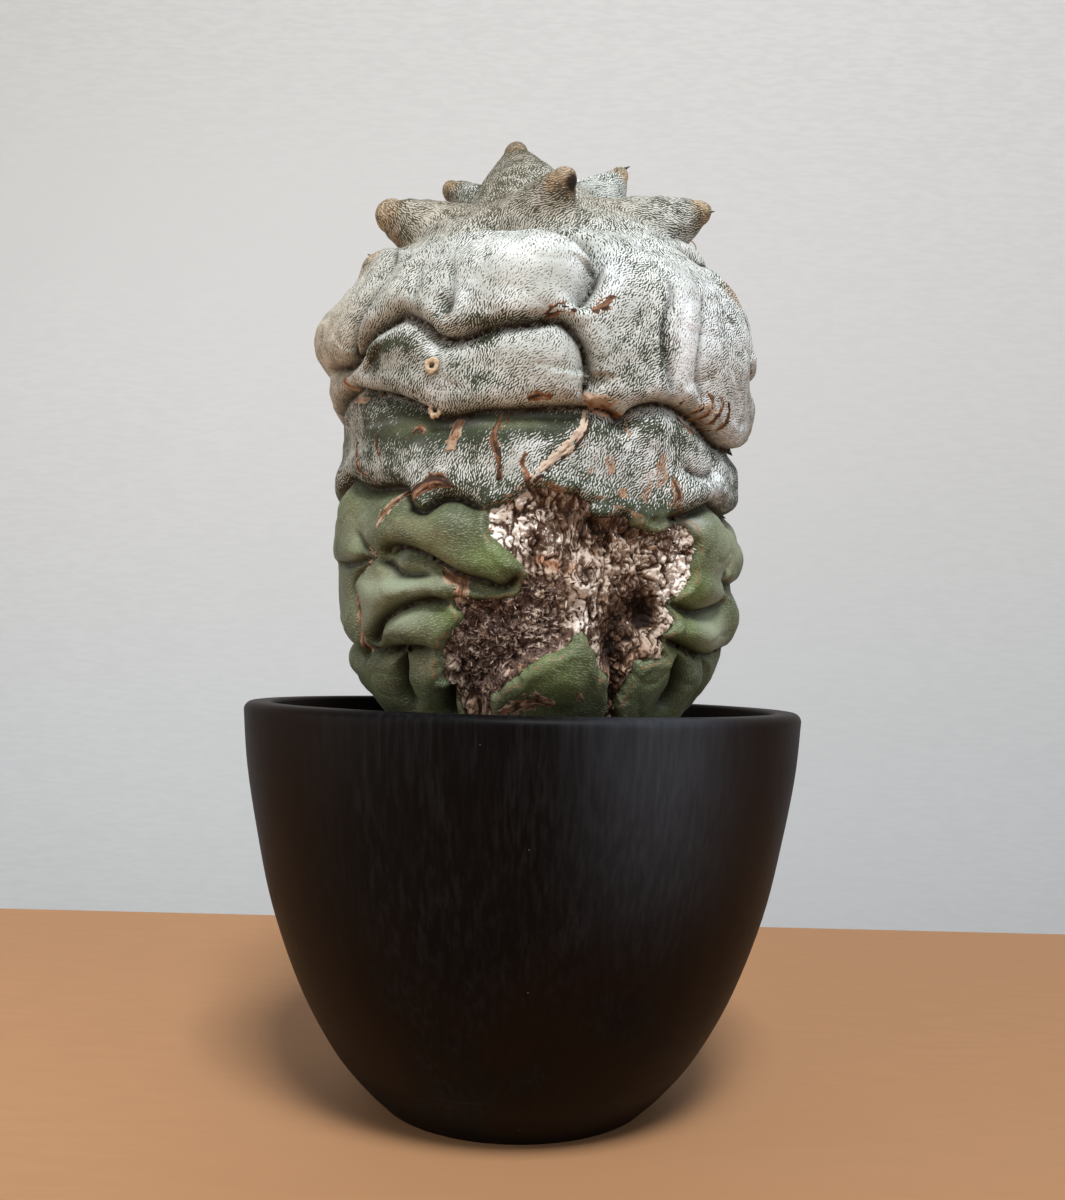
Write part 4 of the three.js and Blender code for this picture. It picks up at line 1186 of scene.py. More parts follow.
@dataclass(frozen=True)
class CactusSkin:
    """The stem's skin: green flesh under white flecks, with scars, brown horn tips, and painted light
    and shade.
    """

    flesh: Colour = (0.128, 0.163, 0.079)
    flesh_dark: Colour = (0.048, 0.067, 0.030)
    flesh_olive: Colour = (0.122, 0.117, 0.058)
    flesh_fresh: Colour = (0.105, 0.162, 0.036)
    # paler grey: dust with a painted sheen
    flesh_dust_and_sheen: Colour = (0.265, 0.315, 0.222)
    flesh_dot: Colour = (0.40, 0.44, 0.31)
    shadow: Colour = (0.033, 0.046, 0.023)
    between: Colour = (0.120, 0.126, 0.100)
    # painted shade: the ground between the flecks where they are darker and yellowish
    warm_shade_ground: Colour = (0.100, 0.072, 0.042)
    # painted shade on the horns
    grime: Colour = (0.50, 0.38, 0.24)
    fleck: Colour = (0.77, 0.815, 0.81)
    fleck_grey: Colour = (0.455, 0.485, 0.46)
    # painted shade: darker, yellowish flecks
    fleck_in_warm_shade: Colour = (0.51, 0.465, 0.37)
    # white powder, and painted light: bluish white flecks
    powder_and_cool_light: Colour = (0.79, 0.86, 0.90)
    rust: Colour = (0.140, 0.060, 0.028)
    tan: Colour = (0.33, 0.190, 0.105)
    horn_brown: Colour = (0.54, 0.43, 0.29)
    horn_gold: Colour = (0.30, 0.175, 0.075)
    horn_dark: Colour = (0.095, 0.060, 0.032)
    horn_cap: Colour = (0.66, 0.57, 0.42)
    rim: Colour = (0.26, 0.15, 0.08)
    # painted shadow along the bottom of the creases
    slit_shadow: Colour = (0.022, 0.017, 0.011)
    # painted shade in the creases
    recess: Colour = (0.42, 0.40, 0.34)
    # dark pits, and painted shade at the bottom of deep creases
    pit: Colour = (0.020, 0.014, 0.009)
    fleck_pitch_mm: float = 0.60
    kernel_cycles: float = 1.7

    def pattern(self, shader: ShaderMaker, place: Wire, pitch_mm: float) -> Wire:
        """Returns the fleck pattern, 0 in the dark dashes and 1 on the white ridges."""
        inputs = {
            "Vector": place,
            "Scale": 1 / (self.kernel_cycles * pitch_mm * MM),
            "Frequency": self.kernel_cycles,
            "Anisotropy": 0.70,
            "Orientation 3D": shader.direction("fleck_across"),
        }
        return shader.node("ShaderNodeTexGabor", {"gabor_type": "3D"}, inputs, "Value")

    def build(self) -> Material:
        """Returns the material."""
        s = ShaderMaker("cactus_skin")
        place = s.coordinates()
        cover = s.value("cover")
        slit = s.value("slit")
        broad = s.noise(place, 14, 3)
        middle = s.noise(place, 3.5, 2)
        fine = s.noise(place, 0.7, 2, 0.6)
        tip = (s.value("tip") + (middle - 0.5) * 0.9 * s.value("tip")).clamp()
        bare = s.mix(s.noise(place, 9, 3).step(0.35, 0.7), self.flesh, self.flesh_olive)
        bare = s.mix(s.value("olive"), bare, self.flesh_olive)
        bare = s.mix(broad.step(0.62, 0.40) * 0.75, bare, self.flesh_dark)
        # paler grey on the lobes' tops: dust with a painted sheen
        bare = s.mix(s.value("dusty"), bare, self.flesh_dust_and_sheen)
        bare = s.mix(s.value("fresh"), bare, self.flesh_fresh)
        dashes = self.pattern(s, place, self.fleck_pitch_mm)
        bare = s.mix(dashes.step(0.46, 0.62) * fine.step(0.3, 0.7) * 0.52, bare, self.flesh_dot)
        # painted shade: bare flesh darkened in the creases
        bare = s.mix(s.value("groove") * 0.55, bare, self.flesh_dark)
        ground = s.mix(cover.step(0.05, 0.32), bare, self.shadow)
        ground = s.mix(cover.step(0.585, 0.68), ground, self.between)
        # painted shade: yellow-brown ground on the side and horns that turn from the light
        ground = s.mix(s.value("warm_shade") * 0.7, ground, self.warm_shade_ground)
        ground = s.mix(tip.step(0.2, 0.8), ground, self.horn_dark)
        white = s.mix(broad.step(0.40, 0.62), self.fleck, self.fleck_grey)
        white = s.mix(s.value("shaded"), white, self.fleck_grey)
        # painted shade: darker, yellowish flecks on the side and horns that turn from the light
        white = s.mix(s.value("warm_shade"), white, self.fleck_in_warm_shade)
        # painted light: whiter, bluish flecks on the side that faces the light
        white = s.mix(s.value("cool_light"), white, self.powder_and_cool_light)
        white = s.mix(fine.step(0.35, 0.6) * 0.3, white, self.fleck_grey)
        white = s.mix(tip.step(0.15, 0.65), white, self.horn_brown)
        white = s.mix(tip.step(0.70, 1.0), white, self.horn_gold)
        level = dashes + (fine - 0.5) * 0.50 + (middle - 0.5) * 0.36 + (broad - 0.5) * 0.20
        edge = 0.98 - cover * 0.88
        flecks = level.step(edge - 0.08, edge + 0.10)
        colour = s.mix(flecks, ground, white)
        colour = s.mix((s.value("cap") * (fine * 2.4 - 0.4)).clamp(), colour, self.horn_cap)
        # painted shade: the horns darkened where they turn from the light
        colour = s.mix((s.value("grime") * (0.5 + middle)).clamp(), colour, self.grime, "MULTIPLY")
        # painted shade: the skin darkened in the creases and in a band above the crease under the
        # horns
        colour = s.mix(s.value("groove") * 0.40, colour, self.recess, "MULTIPLY")
        powder = (s.value("powder") * (0.25 + flecks * 0.5) * (0.2 + middle * 1.3)).clamp()
        colour = s.mix(powder, colour, self.powder_and_cool_light)
        streaks = s.noise(s.stretched((1, 1, 0.45)), 1.5, 3, 0.75)
        rust_places = s.value("rust") * 1.15 + (streaks - 0.5) * 1.5
        rusty = rust_places.step(0.54, 0.72) * (1 - flecks * 0.30)
        colour = s.mix(rusty, colour, s.mix((fine + streaks).step(0.85, 1.15), self.rust, self.tan))
        tan_places = s.value("tan") + (s.noise(place, 1.6, 3, 0.7) - 0.5) * 1.0
        colour = s.mix(tan_places.step(0.5, 0.7), colour, self.tan)
        edge_gap = s.value("wound") + 0.4 + (middle - 0.5) * 2.2
        brown_line = 1 - abs(edge_gap).step(0.05, 0.5)
        colour = s.mix(brown_line * middle.step(0.45, 0.6) * 0.8, colour, self.rim)
        # painted shadow: a thin near-black line along the bottom of each crease
        colour = s.mix((slit * (0.9 + middle * 0.8)).clamp(), colour, self.slit_shadow)
        # dark pits, and painted shade at the bottom of deep creases
        colour = s.mix(s.value("pit"), colour, self.pit)
        rough = 0.50 + cover.clamp() * 0.32 + fine * 0.08
        normal = s.bump(fine + s.noise(s.stretched((1, 1, 2.6)), 1.3, 2, 0.6), 0.16, 0.9)
        return s.finish(colour, rough, normal, Specular_IOR_Level=0.32)


@dataclass(frozen=True)
class CorkFinish:
    """Dry cork: cream crumbs on dark fibrous brown, with rusty places."""

    crevice: Colour = (0.018, 0.011, 0.008)
    umber: Colour = (0.105, 0.062, 0.040)
    plum: Colour = (0.120, 0.078, 0.064)
    beige: Colour = (0.45, 0.355, 0.275)
    cream: Colour = (0.92, 0.875, 0.82)
    rust: Colour = (0.36, 0.165, 0.08)

    def build(self) -> Material:
        """Returns the material."""
        s = ShaderMaker("cork")
        place = s.coordinates()
        grit = s.noise(place, 0.45, 3, 0.7)
        patch = s.noise(place, 2.4, 2)
        fibre = s.noise(s.stretched((1, 1, 0.3)), 0.5, 2, 0.7)
        dark = s.mix(s.value("plum"), self.umber, self.plum)
        light = s.mix(s.value("cream"), self.beige, self.cream)
        light = s.mix(s.value("rust"), light, self.rust)
        tone = s.value("tone") + (grit - 0.5) * 0.45 + (fibre - 0.5) * 0.5 + (patch - 0.5) * 0.4
        colour = s.mix(tone.step(0.02, 0.30), self.crevice, dark)
        colour = s.mix(tone.step(0.34, 0.72), colour, light)
        normal = s.bump(grit, 0.20, 0.8)
        return s.finish(colour, 0.88, normal, Specular_IOR_Level=0.2)


@dataclass(frozen=True)
class ScabFinish:
    """Thin dry bark over old scars."""

    rust: Colour = (0.21, 0.100, 0.052)
    tan: Colour = (0.35, 0.235, 0.150)
    pale: Colour = (0.60, 0.50, 0.40)
    dark: Colour = (0.045, 0.026, 0.017)

    def build(self) -> Material:
        """Returns the material."""
        s = ShaderMaker("scar_bark")
        place = s.coordinates()
        grain = s.noise(place, 0.6, 3, 0.7)
        tone = s.value("tone") + (grain - 0.5) * 0.6
        light = s.mix(s.value("pale"), self.tan, self.pale)
        colour = s.mix(tone.step(0.1, 0.42), self.dark, self.rust)
        colour = s.mix(tone.step(0.4, 0.75), colour, light)
        normal = s.bump(grain, 0.16, 0.8)
        return s.finish(colour, 0.8, normal, Specular_IOR_Level=0.25)


@dataclass(frozen=True)
class PotPlastic:
    """Near-black matte plastic with faint upright brushing, dust, scuffs, a painted sheen and a
    painted reflection.
    """

    base: Colour = (0.0026, 0.0022, 0.0023)
    dusty: Colour = (0.0100, 0.0097, 0.0105)
    # painted sheen
    painted_sheen_blue: Colour = (0.036, 0.041, 0.050)
    # painted reflection of the brown floor
    brown: Colour = (0.0095, 0.0042, 0.0018)
    speck: Colour = (0.16, 0.16, 0.16)

    def build(self) -> Material:
        """Returns the material."""
        s = ShaderMaker("pot_plastic")
        place = s.coordinates()
        brush = s.noise(s.stretched((1, 1, 0.035)), 1.3, 3, 0.65)
        wide_brush = s.noise(s.stretched((1, 1, 0.08)), 7, 3, 0.6)
        cloud = s.noise(place, 26, 3)
        scratches = s.noise(s.stretched((0.04, 0.04, 1)), 0.9, 3, 0.65)
        height = s.axis(place, "Z")
        near_foot = 1 - height.step(0.008, 0.034)
        low = 1 - height.step(0.02, 0.075)
        specks = 1 - s.cells(place, 8).step(0.010, 0.024)
        side = s.axis(place, "X")
        # painted sheen: a soft bluish highlight high on the pot's right, where the light is reflected
        sheen_patch = height.step(0.040, 0.096) * (1 - abs(side - 0.036).step(0.002, 0.034))
        film = brush.step(0.40, 0.72) * wide_brush.step(0.10, 0.75)
        film = film + scratches.step(0.56, 0.72) * near_foot * 0.7
        colour = s.mix(film.clamp(), self.base, self.dusty)
        colour = s.mix(sheen_patch * (0.35 + brush * 0.9), colour, self.painted_sheen_blue)
        # painted reflection: the floor's warm brown, low down and on both flanks
        flank = abs(side).step(0.030, 0.062)
        colour = s.mix((low * cloud.step(0.35, 0.6) + flank).clamp() * 0.8, colour, self.brown)
        colour = s.mix(specks * cloud.step(0.5, 0.6), colour, self.speck)
        rough = 0.37 + brush * 0.14 + cloud * 0.10
        normal = s.bump(brush + scratches * near_foot, 0.03, 0.5)
        return s.finish(colour, rough, normal, Specular_IOR_Level=0.07)


@dataclass(frozen=True)
class Grit:
    """Dry mixed potting grit."""

    dark: Colour = (0.035, 0.026, 0.020)
    brown: Colour = (0.16, 0.105, 0.065)
    pale: Colour = (0.38, 0.33, 0.27)

    def build(self) -> Material:
        """Returns the material."""
        s = ShaderMaker("potting_grit")
        place = s.coordinates()
        kind = s.axis(s.cells(place, 4.5, "Color"), "X")
        pores = s.noise(place, 0.7, 3, 0.7)
        colour = s.mix(kind.step(0.2, 0.6), self.dark, self.brown)
        colour = s.mix(kind.step(0.78, 0.9), colour, self.pale)
        colour = s.mix(pores.step(0.45, 0.3) * 0.6, colour, self.dark)
        return s.finish(colour, 0.95, s.bump(pores, 0.3), Specular_IOR_Level=0.2)


@dataclass(frozen=True)
class Plain:
    """A small part's finish: one colour that varies with a fine grain."""

    name: str
    light: Colour
    dark: Colour
    grain_mm: float = 0.6
    roughness: float = 0.8

    def build(self) -> Material:
        """Returns the material."""
        s = ShaderMaker(self.name)
        grain = s.noise(s.coordinates(), self.grain_mm, 3, 0.6)
        colour = s.mix(grain.step(0.35, 0.65), self.dark, self.light)
        return s.finish(colour, self.roughness, s.bump(grain, 0.1, 0.5))


# Pieces


@dataclass
class PlasticPot:
    """The round pot: a turned wall with a flat land, a rounded lip and a raised underside."""

    finish: PotPlastic = field(default_factory=PotPlastic)
    rim_diameter: float = 150.0
    height: float = 104.2
    foot_diameter: float = 73.2
    wall: float = 3.0
    land: float = 7.0
    flange: float = 5.0
    lip_radius: float = 2.2
    inner_lip_radius: float = 1.0
    floor: float = 4.0
    recess: float = 1.5
    foot_ring: float = 6.0
    drain_diameter: float = 15.0
    sides: int = 192
    outside: tuple[tuple[float, float], ...] = (
        (36.6, 0.6), (42.4, 6.3), (49.8, 15.6), (58.4, 31.3), (66.1, 52.1), (70.9, 72.9),
        (73.7, 88.6), (75, 102),
    )

    @staticmethod
    def rounding(centre: tuple[float, float], radius: float, start: float, end: float) -> list:
        """Returns the points of an arc, its angles in degrees."""
        angles = np.linspace(start, end, 7) * RADIANS
        return [(centre[0] + radius * math.cos(a), centre[1] + radius * math.sin(a)) for a in angles]

    def wall_curve(self) -> Array:
        """Returns the wall's outside from foot to lip."""
        return spline(self.outside, np.linspace(0, 1, 40))

    def profile(self) -> list[tuple[float, float]]:
        """Returns the pot's turned outline as (radius, height), starting at the drain hole."""
        rim = self.rim_diameter / 2
        foot = self.foot_diameter / 2
        drain = self.drain_diameter / 2
        inner = rim - self.land
        wall = self.wall_curve()
        under = self.height - self.flange
        inside = [(r - self.wall, h) for r, h in wall[::-1] if 7 < h < under - self.wall]
        return [
            (drain, self.recess),
            (foot - self.foot_ring, self.recess),
            (foot - self.foot_ring + self.recess, 0.0),
            (foot - 0.6, 0.0),
            *[(float(r), float(h)) for r, h in wall[:-1]],
            *self.rounding((rim - self.lip_radius, self.height - self.lip_radius),
                           self.lip_radius, 0, 90),
            *self.rounding((inner + self.inner_lip_radius, self.height - self.inner_lip_radius),
                           self.inner_lip_radius, 90, 180),
            (inner, under),
            *[(float(r), float(h)) for r, h in inside],
            (inside[-1][0] - 3, self.floor),
            (drain, self.floor),
        ]

    def build(self) -> Piece:
        """Returns the finished pot."""
        pot = turn_outline("pot_body", self.profile(), self.sides, "NOTHING")
        bpy.ops.mesh.select_all(action="DESELECT")
        bpy.ops.mesh.select_non_manifold()
        bpy.ops.mesh.bridge_edge_loops()
        close_editing()
        finish_piece(pot, self.finish.build())
        bpy.ops.object.shade_smooth_by_angle(angle=35 * RADIANS)
        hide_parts(Node.POT.value)
        return pot


@dataclass
class PottingGrit:
    """The potting grit: a bed, and loose grains on it."""

    finish: Grit = field(default_factory=Grit)
    at_wall: float = 94.5
    at_stem: float = 97.0
    floor: float = 4.4
    gap_to_wall: float = 0.35
    bed_sides: int = 96
    bed_relief: float = 0.8
    grains: int = 1100
    grain_shapes: int = 5
    grain_radii: tuple[float, float] = (0.7, 2.2)
    grain_ring: tuple[float, float] = (38.0, 69.5)
    slope_ring: tuple[float, float] = (44.0, 70.0)
    seed: int = 77

    def bed(self, pot: PlasticPot) -> Piece:
        """Returns the bed that fills the pot."""
        wall = pot.wall_curve()
        heights = np.linspace(8, self.at_wall, 14)
        radii = np.interp(heights, wall[:, 1], wall[:, 0]) - pot.wall - self.gap_to_wall
        rings = [(radii[0] - 4, self.floor)]
        rings += [(float(r), float(h)) for r, h in zip(radii, heights)]
        top = np.linspace(radii[-1], 6, 30)[1:]
        slope = (radii[-1] - top) / radii[-1]
        rings += [(float(r), self.at_wall + (self.at_stem - self.at_wall) * min(float(k) * 2.2, 1))
                  for r, k in zip(top, slope)]
        bed = turn_outline("grit_bed", rings, self.bed_sides, "NGON")
        close_editing()
        points = read_points(bed)
        on_top = points[:, 2] > self.at_wall - 0.5
        points[on_top, 2] += self.bed_relief * GritNoise(3).at(points[on_top], 4)
        write_points(bed, points)
        finish_piece(bed, self.finish.build())
        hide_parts(Node.SOIL.value)
        return bed

    def scatter(self, form: StemForm, material: Material) -> Piece:
        """Returns the loose grains between the stem and the wall, joined in one piece."""
        draw = np.random.default_rng(self.seed)
        shapes = [lumpy_ball(f"grain_{number}", 60 + number, 0.35, 0.9)
                  for number in range(self.grain_shapes)]
        angle = draw.uniform(0, 2 * math.pi, self.grains)
        inner, outer = self.grain_ring
        radius = np.sqrt(draw.uniform(inner**2, outer**2, self.grains))
        size = draw.uniform(*self.grain_radii, self.grains)
        level = np.interp(radius, self.slope_ring, [self.at_stem, self.at_wall])
        centres = np.stack([radius * np.sin(angle), -radius * np.cos(angle), level + 0.3 * size], 1)
        clear = form.body_gap(centres) > 0.4 * size
        copies = []
        for count in np.flatnonzero(clear):
            shape = shapes[count % len(shapes)]
            turn = np.array(Matrix.Rotation(draw.uniform(0, 6.28), 3, draw.normal(size=3)))
            stretch = np.array([1, draw.uniform(0.7, 1), draw.uniform(0.6, 0.9)])
            grain = (read_points(shape) * size[count] * stretch) @ turn.T + centres[count]
            copies.append((shape, grain))
        return finish_piece(join_copies("loose_grit", shapes, copies), material)


# Where the skin's look changes, as soft spots over the stem

# where the white flecks lie thicker or thinner
COVER = spots(
    (-13, 191, 3, 3.0, -0.16), (-14, 181, 3, 2.5, -0.16), (-37, 191.5, 5, 1.6, -0.35),
    (-45, 189, 3, 2.5, -0.30), (-6, 194.5, 12, 1.2, -0.18), (-32, 185, 12, 6, -0.05),
    (4, 223, 10, 7, -0.06), (-1, 209, 12, 9, 0.10), (3, 186, 8, 7, 0.03),
    (37, 194, 6, 14, 0.08), (-22, 198, 1.4, 2.0, -0.25), (24, 188, 7, 9, -0.07),
    (29.5, 191, 0.9, 10, -0.2), (-66, 206, 9, 8, 0.06), (-36, 171.5, 16, 3.2, -0.26),
    (-30, 162, 10, 3.5, 0.16), (-47, 165, 6, 5, 0.14), (-5, 171.5, 15, 2.6, -0.30),
    (-3, 164.5, 8, 4.5, 0.16), (-14, 161, 13, 4, 0.14), (28, 163, 17, 10, 0.15),
    (52, 164, 12, 7, 0.16), (12, 166, 6, 5, 0.10), (-64, 172, 9, 8, 0.14),
    (150, 166, 60, 6, 0.16), (-110, 166, 40, 6, 0.16), (33, 152, 12, 2, -0.25),
)
# where the flecks are darker and yellowish, painted shade on the left, the back and the horns' flanks;
# where they are whiter and bluish, painted light on the right side, which faces the light;
# and where white powder lies on the skin
WARM_SHADE = spots(
    (-80, 200, 26, 26, 0.85), (-62, 196, 14, 12, 0.5), (-34, 210, 6, 9, 0.25),
    (-40, 238, 60, 11, 0.85), (140, 205, 60, 20, 0.35), (40, 240, 30, 8, 0.6),
)
COOL_LIGHT = spots(
    (52, 198, 16, 18, 0.9), (36, 188, 6, 12, 0.9), (18, 211, 4, 9, 0.8),
    (55, 160, 9, 8, 0.8), (66, 175, 10, 8, 0.7), (0, 166, 8, 5, 0.5), (27, 163, 18, 9, 0.6),
)
POWDER = spots(
    (35, 196, 1.8, 11, 0.9), (48, 198, 2.2, 9, 0.7), (17, 208, 1.6, 6, 1.0),
    (57, 158, 7, 3, 0.7), (46, 151.5, 4, 1.4, 0.8), (50, 180, 7, 1.8, 0.9),
    (-32, 167, 2.2, 1.6, 0.5), (-33, 161.5, 2.2, 1.2, 0.5), (4, 191.5, 9, 0.9, 0.5),
    (60, 164, 7, 9, 0.55), (-9, 211, 3, 4, 0.7), (-18, 201, 2.5, 4, 0.8),
    (8, 210, 3, 7, 0.7), (-23, 181, 1.2, 1.6, 0.9), (-20, 171.6, 8, 0.7, 0.8),
    (-45, 173.5, 8, 0.6, 0.5), (0, 173.2, 9, 0.5, 0.6), (-37, 140.3, 1.6, 1.4, 1.0),
    (-26.5, 188.5, 1.6, 1.6, 0.9), (-26, 179, 1.5, 1.6, 0.9), (40, 149.5, 5, 1.6, 0.7),
)
# rusty and tan stains, and dark pits, with painted shade where some lie at the bottom of deep creases
RUST = spots(
    (2, 196.5, 6, 1.8, 0.42), (14, 200, 3.5, 2.4, 0.36), (10, 176, 7, 2.6, 0.40),
    (-2, 177, 4, 1.6, 0.25), (-16, 193, 7, 1.3, 0.28), (47, 178, 8, 5, 0.52),
    (6, 156, 8, 1.6, 0.45), (-9, 153, 6, 1.2, 0.5), (32, 161, 15, 9, 0.30),
    (-50, 170, 10, 9, 0.34), (18.5, 163, 2.0, 4.0, 0.42), (13.8, 160.7, 2.6, 2.6, 0.42),
    (27.5, 157, 2.0, 4.2, 0.46), (32.7, 163, 1.6, 4.6, 0.46), (37, 157.6, 2.6, 3.6, 0.46),
    (21, 156, 3.5, 1.8, 0.50),
    (40, 153, 9, 2.5, 0.36), (-22, 157, 10, 2.6, 0.36), (-58, 181, 3.5, 4, 0.5),
    (22, 171, 7, 4, 0.36), (2, 160, 6, 5, 0.34), (60, 207, 5, 4, 0.3),
    (-36, 170, 5, 4, 0.34), (-30, 195, 3, 2, 0.4), (-46, 156, 8, 4, 0.32),
)
TAN = spots(
    (-20, 206, 3.5, 2, 0.30), (-37, 214, 1.6, 2, 0.3), (-26, 203, 2, 1.4, 0.30),
    (-26, 180, 1.6, 3.2, 0.42), (-44, 153, 5, 3, 0.2), (-21, 196, 1.6, 1.5, 0.40),
    (-56, 118, 5, 5, 0.42), (-60, 185, 3, 5, 0.42), (8, 176, 5, 2, 0.3),
    (-24, 196, 3, 1.6, 0.5), (-32, 158, 6, 2, 0.3), (8, 106, 5, 2, 0.3),
)
PITS_AND_CREASE_SHADE = spots(
    (-38, 214, 0.8, 0.9, 0.9), (-21.5, 199, 1.1, 2.4, 0.8), (-57.5, 181, 1.2, 1.6, 1.0),
    (-26, 185, 1.0, 1.0, 1.0), (-27, 175, 1.0, 1.0, 1.0), (48.5, 108.5, 5, 5, 0.85),
    (-44, 114, 2.6, 4.2, 0.62), (24, 212, 1.0, 0.7, 0.5), (-18, 228, 1.3, 1.5, 1.0),
    (-14, 224, 1.0, 1.2, 0.5),
)
# brown stains on the horns: a point in mm, its reach and strength
STAINS = (
    ((-44, -12, 231), 5.2, 1.0), ((-38, -16, 228), 3.5, 0.8), ((11, -36, 233), 2.6, 0.9),
    ((4, -37, 236), 2.4, 0.7), ((50, -27, 210), 4.5, 0.8), ((46, -14, 236), 4.0, 0.5),
)
# painted shade on the horns, darker and browner where they face down and away from the light: a point
# in mm, its reach and strength
HORN_SHADE = (
    ((5, -38, 232), 7, 0.6), ((2, -34, 225), 9, 0.35), ((-35, -16, 226), 8, 0.6),
    ((-6, 0, 256), 9, 0.5), ((-26, 19, 256), 6, 0.5), ((44, -14, 235), 6, 0.4),
)
# the dark oval areole beside the tip of the middle horn: its centre and half sizes in mm
FRONT_AREOLE = ((9.8, -36.8, 236.5), (2.1, 2.8, 2.3))

# where the ridges are greyer than on the brightest lobes
SHADED = spots(
    (-36, 186, 14, 9, 0.8), (-30, 208, 16, 9, 0.5), (-75, 200, 25, 16, 0.4),
    (-40, 165, 25, 7, 0.8), (18, 188, 10, 10, 0.35), (24, 205, 8, 6, 0.3),
    (-2, 184, 16, 8, 0.45), (-60, 245, 95, 14, 0.85),
)
# where the flesh is olive
OLIVE = spots(
    (-40, 148, 20, 6, 0.7), (-45, 132, 20, 6, 0.5), (-60, 120, 20, 10, 0.4),
    (8, 112, 10, 5, 0.35),
)
# the fresh green beside the wound, and the paler grey on the tops of the lower lobes, dust with a
# painted sheen
FRESH = spots(
    (-11, 140, 6, 4, 0.9), (-22, 126, 5, 3, 0.7), (46, 134, 5, 8, 0.7),
    (46, 121, 6, 5, 0.6), (6, 112, 9, 6, 0.6),
)
DUST_AND_SHEEN = spots(
    (-37, 134, 14, 3.0, 0.85), (-38, 126, 10, 2.6, 0.80), (-56, 148, 8, 5, 0.45),
    (-50, 132, 6, 5, 0.4), (58, 138, 9, 9, 0.6), (66, 149, 14, 7, 0.7),
    (58, 122, 11, 3.5, 0.7), (57, 127, 9, 5, 0.7),
)
# the height at which the bare flesh ends, and the foot of the second tier, by azimuth
BARE_LINE = (
    (-180, 157), (-120, 157), (-75, 161), (-67, 163), (-56, 159), (-41, 158), (-35, 154),
    (-29, 151), (-20, 153), (-13, 151), (0, 150), (25, 149), (34, 150), (43, 152.5),
    (55, 156.5), (68, 155), (90, 158), (120, 154), (150, 157), (180, 157),
)
TIER_LINE = (
    (-180, 177), (-134, 178), (-104, 179), (-80, 182), (-57, 184), (-51, 182), (-39, 179),
    (-30, 175), (-27, 173), (-22, 173), (-14, 174), (-6, 174), (7, 175), (17, 173), (24, 174),
    (33, 176), (45, 175), (60, 172), (80, 174), (102, 178), (126, 175), (152, 179), (180, 177),
)

# the looks that are stored on the mesh by name
LOOKS = {
    "warm_shade": WARM_SHADE, "cool_light": COOL_LIGHT, "powder": POWDER, "rust": RUST, "tan": TAN, "shaded": SHADED,
    "olive": OLIVE, "fresh": FRESH, "dusty": DUST_AND_SHEEN,
}


def soft_balls(points: Array, table: Sequence[tuple[Any, float, float]]) -> Array:
    """Reads soft balls at points.

    Args:
        points: Rows of x, y and z in mm.
        table: Each ball's centre, reach and strength.

    Returns:
        The strongest ball's value at each point.
    """
    gaps = [np.linalg.norm(points - np.array(centre), axis=1) / reach for centre, reach, _ in table]
    return np.max([ball[2] * np.exp(-(gap**2)) for ball, gap in zip(table, gaps)], axis=0)


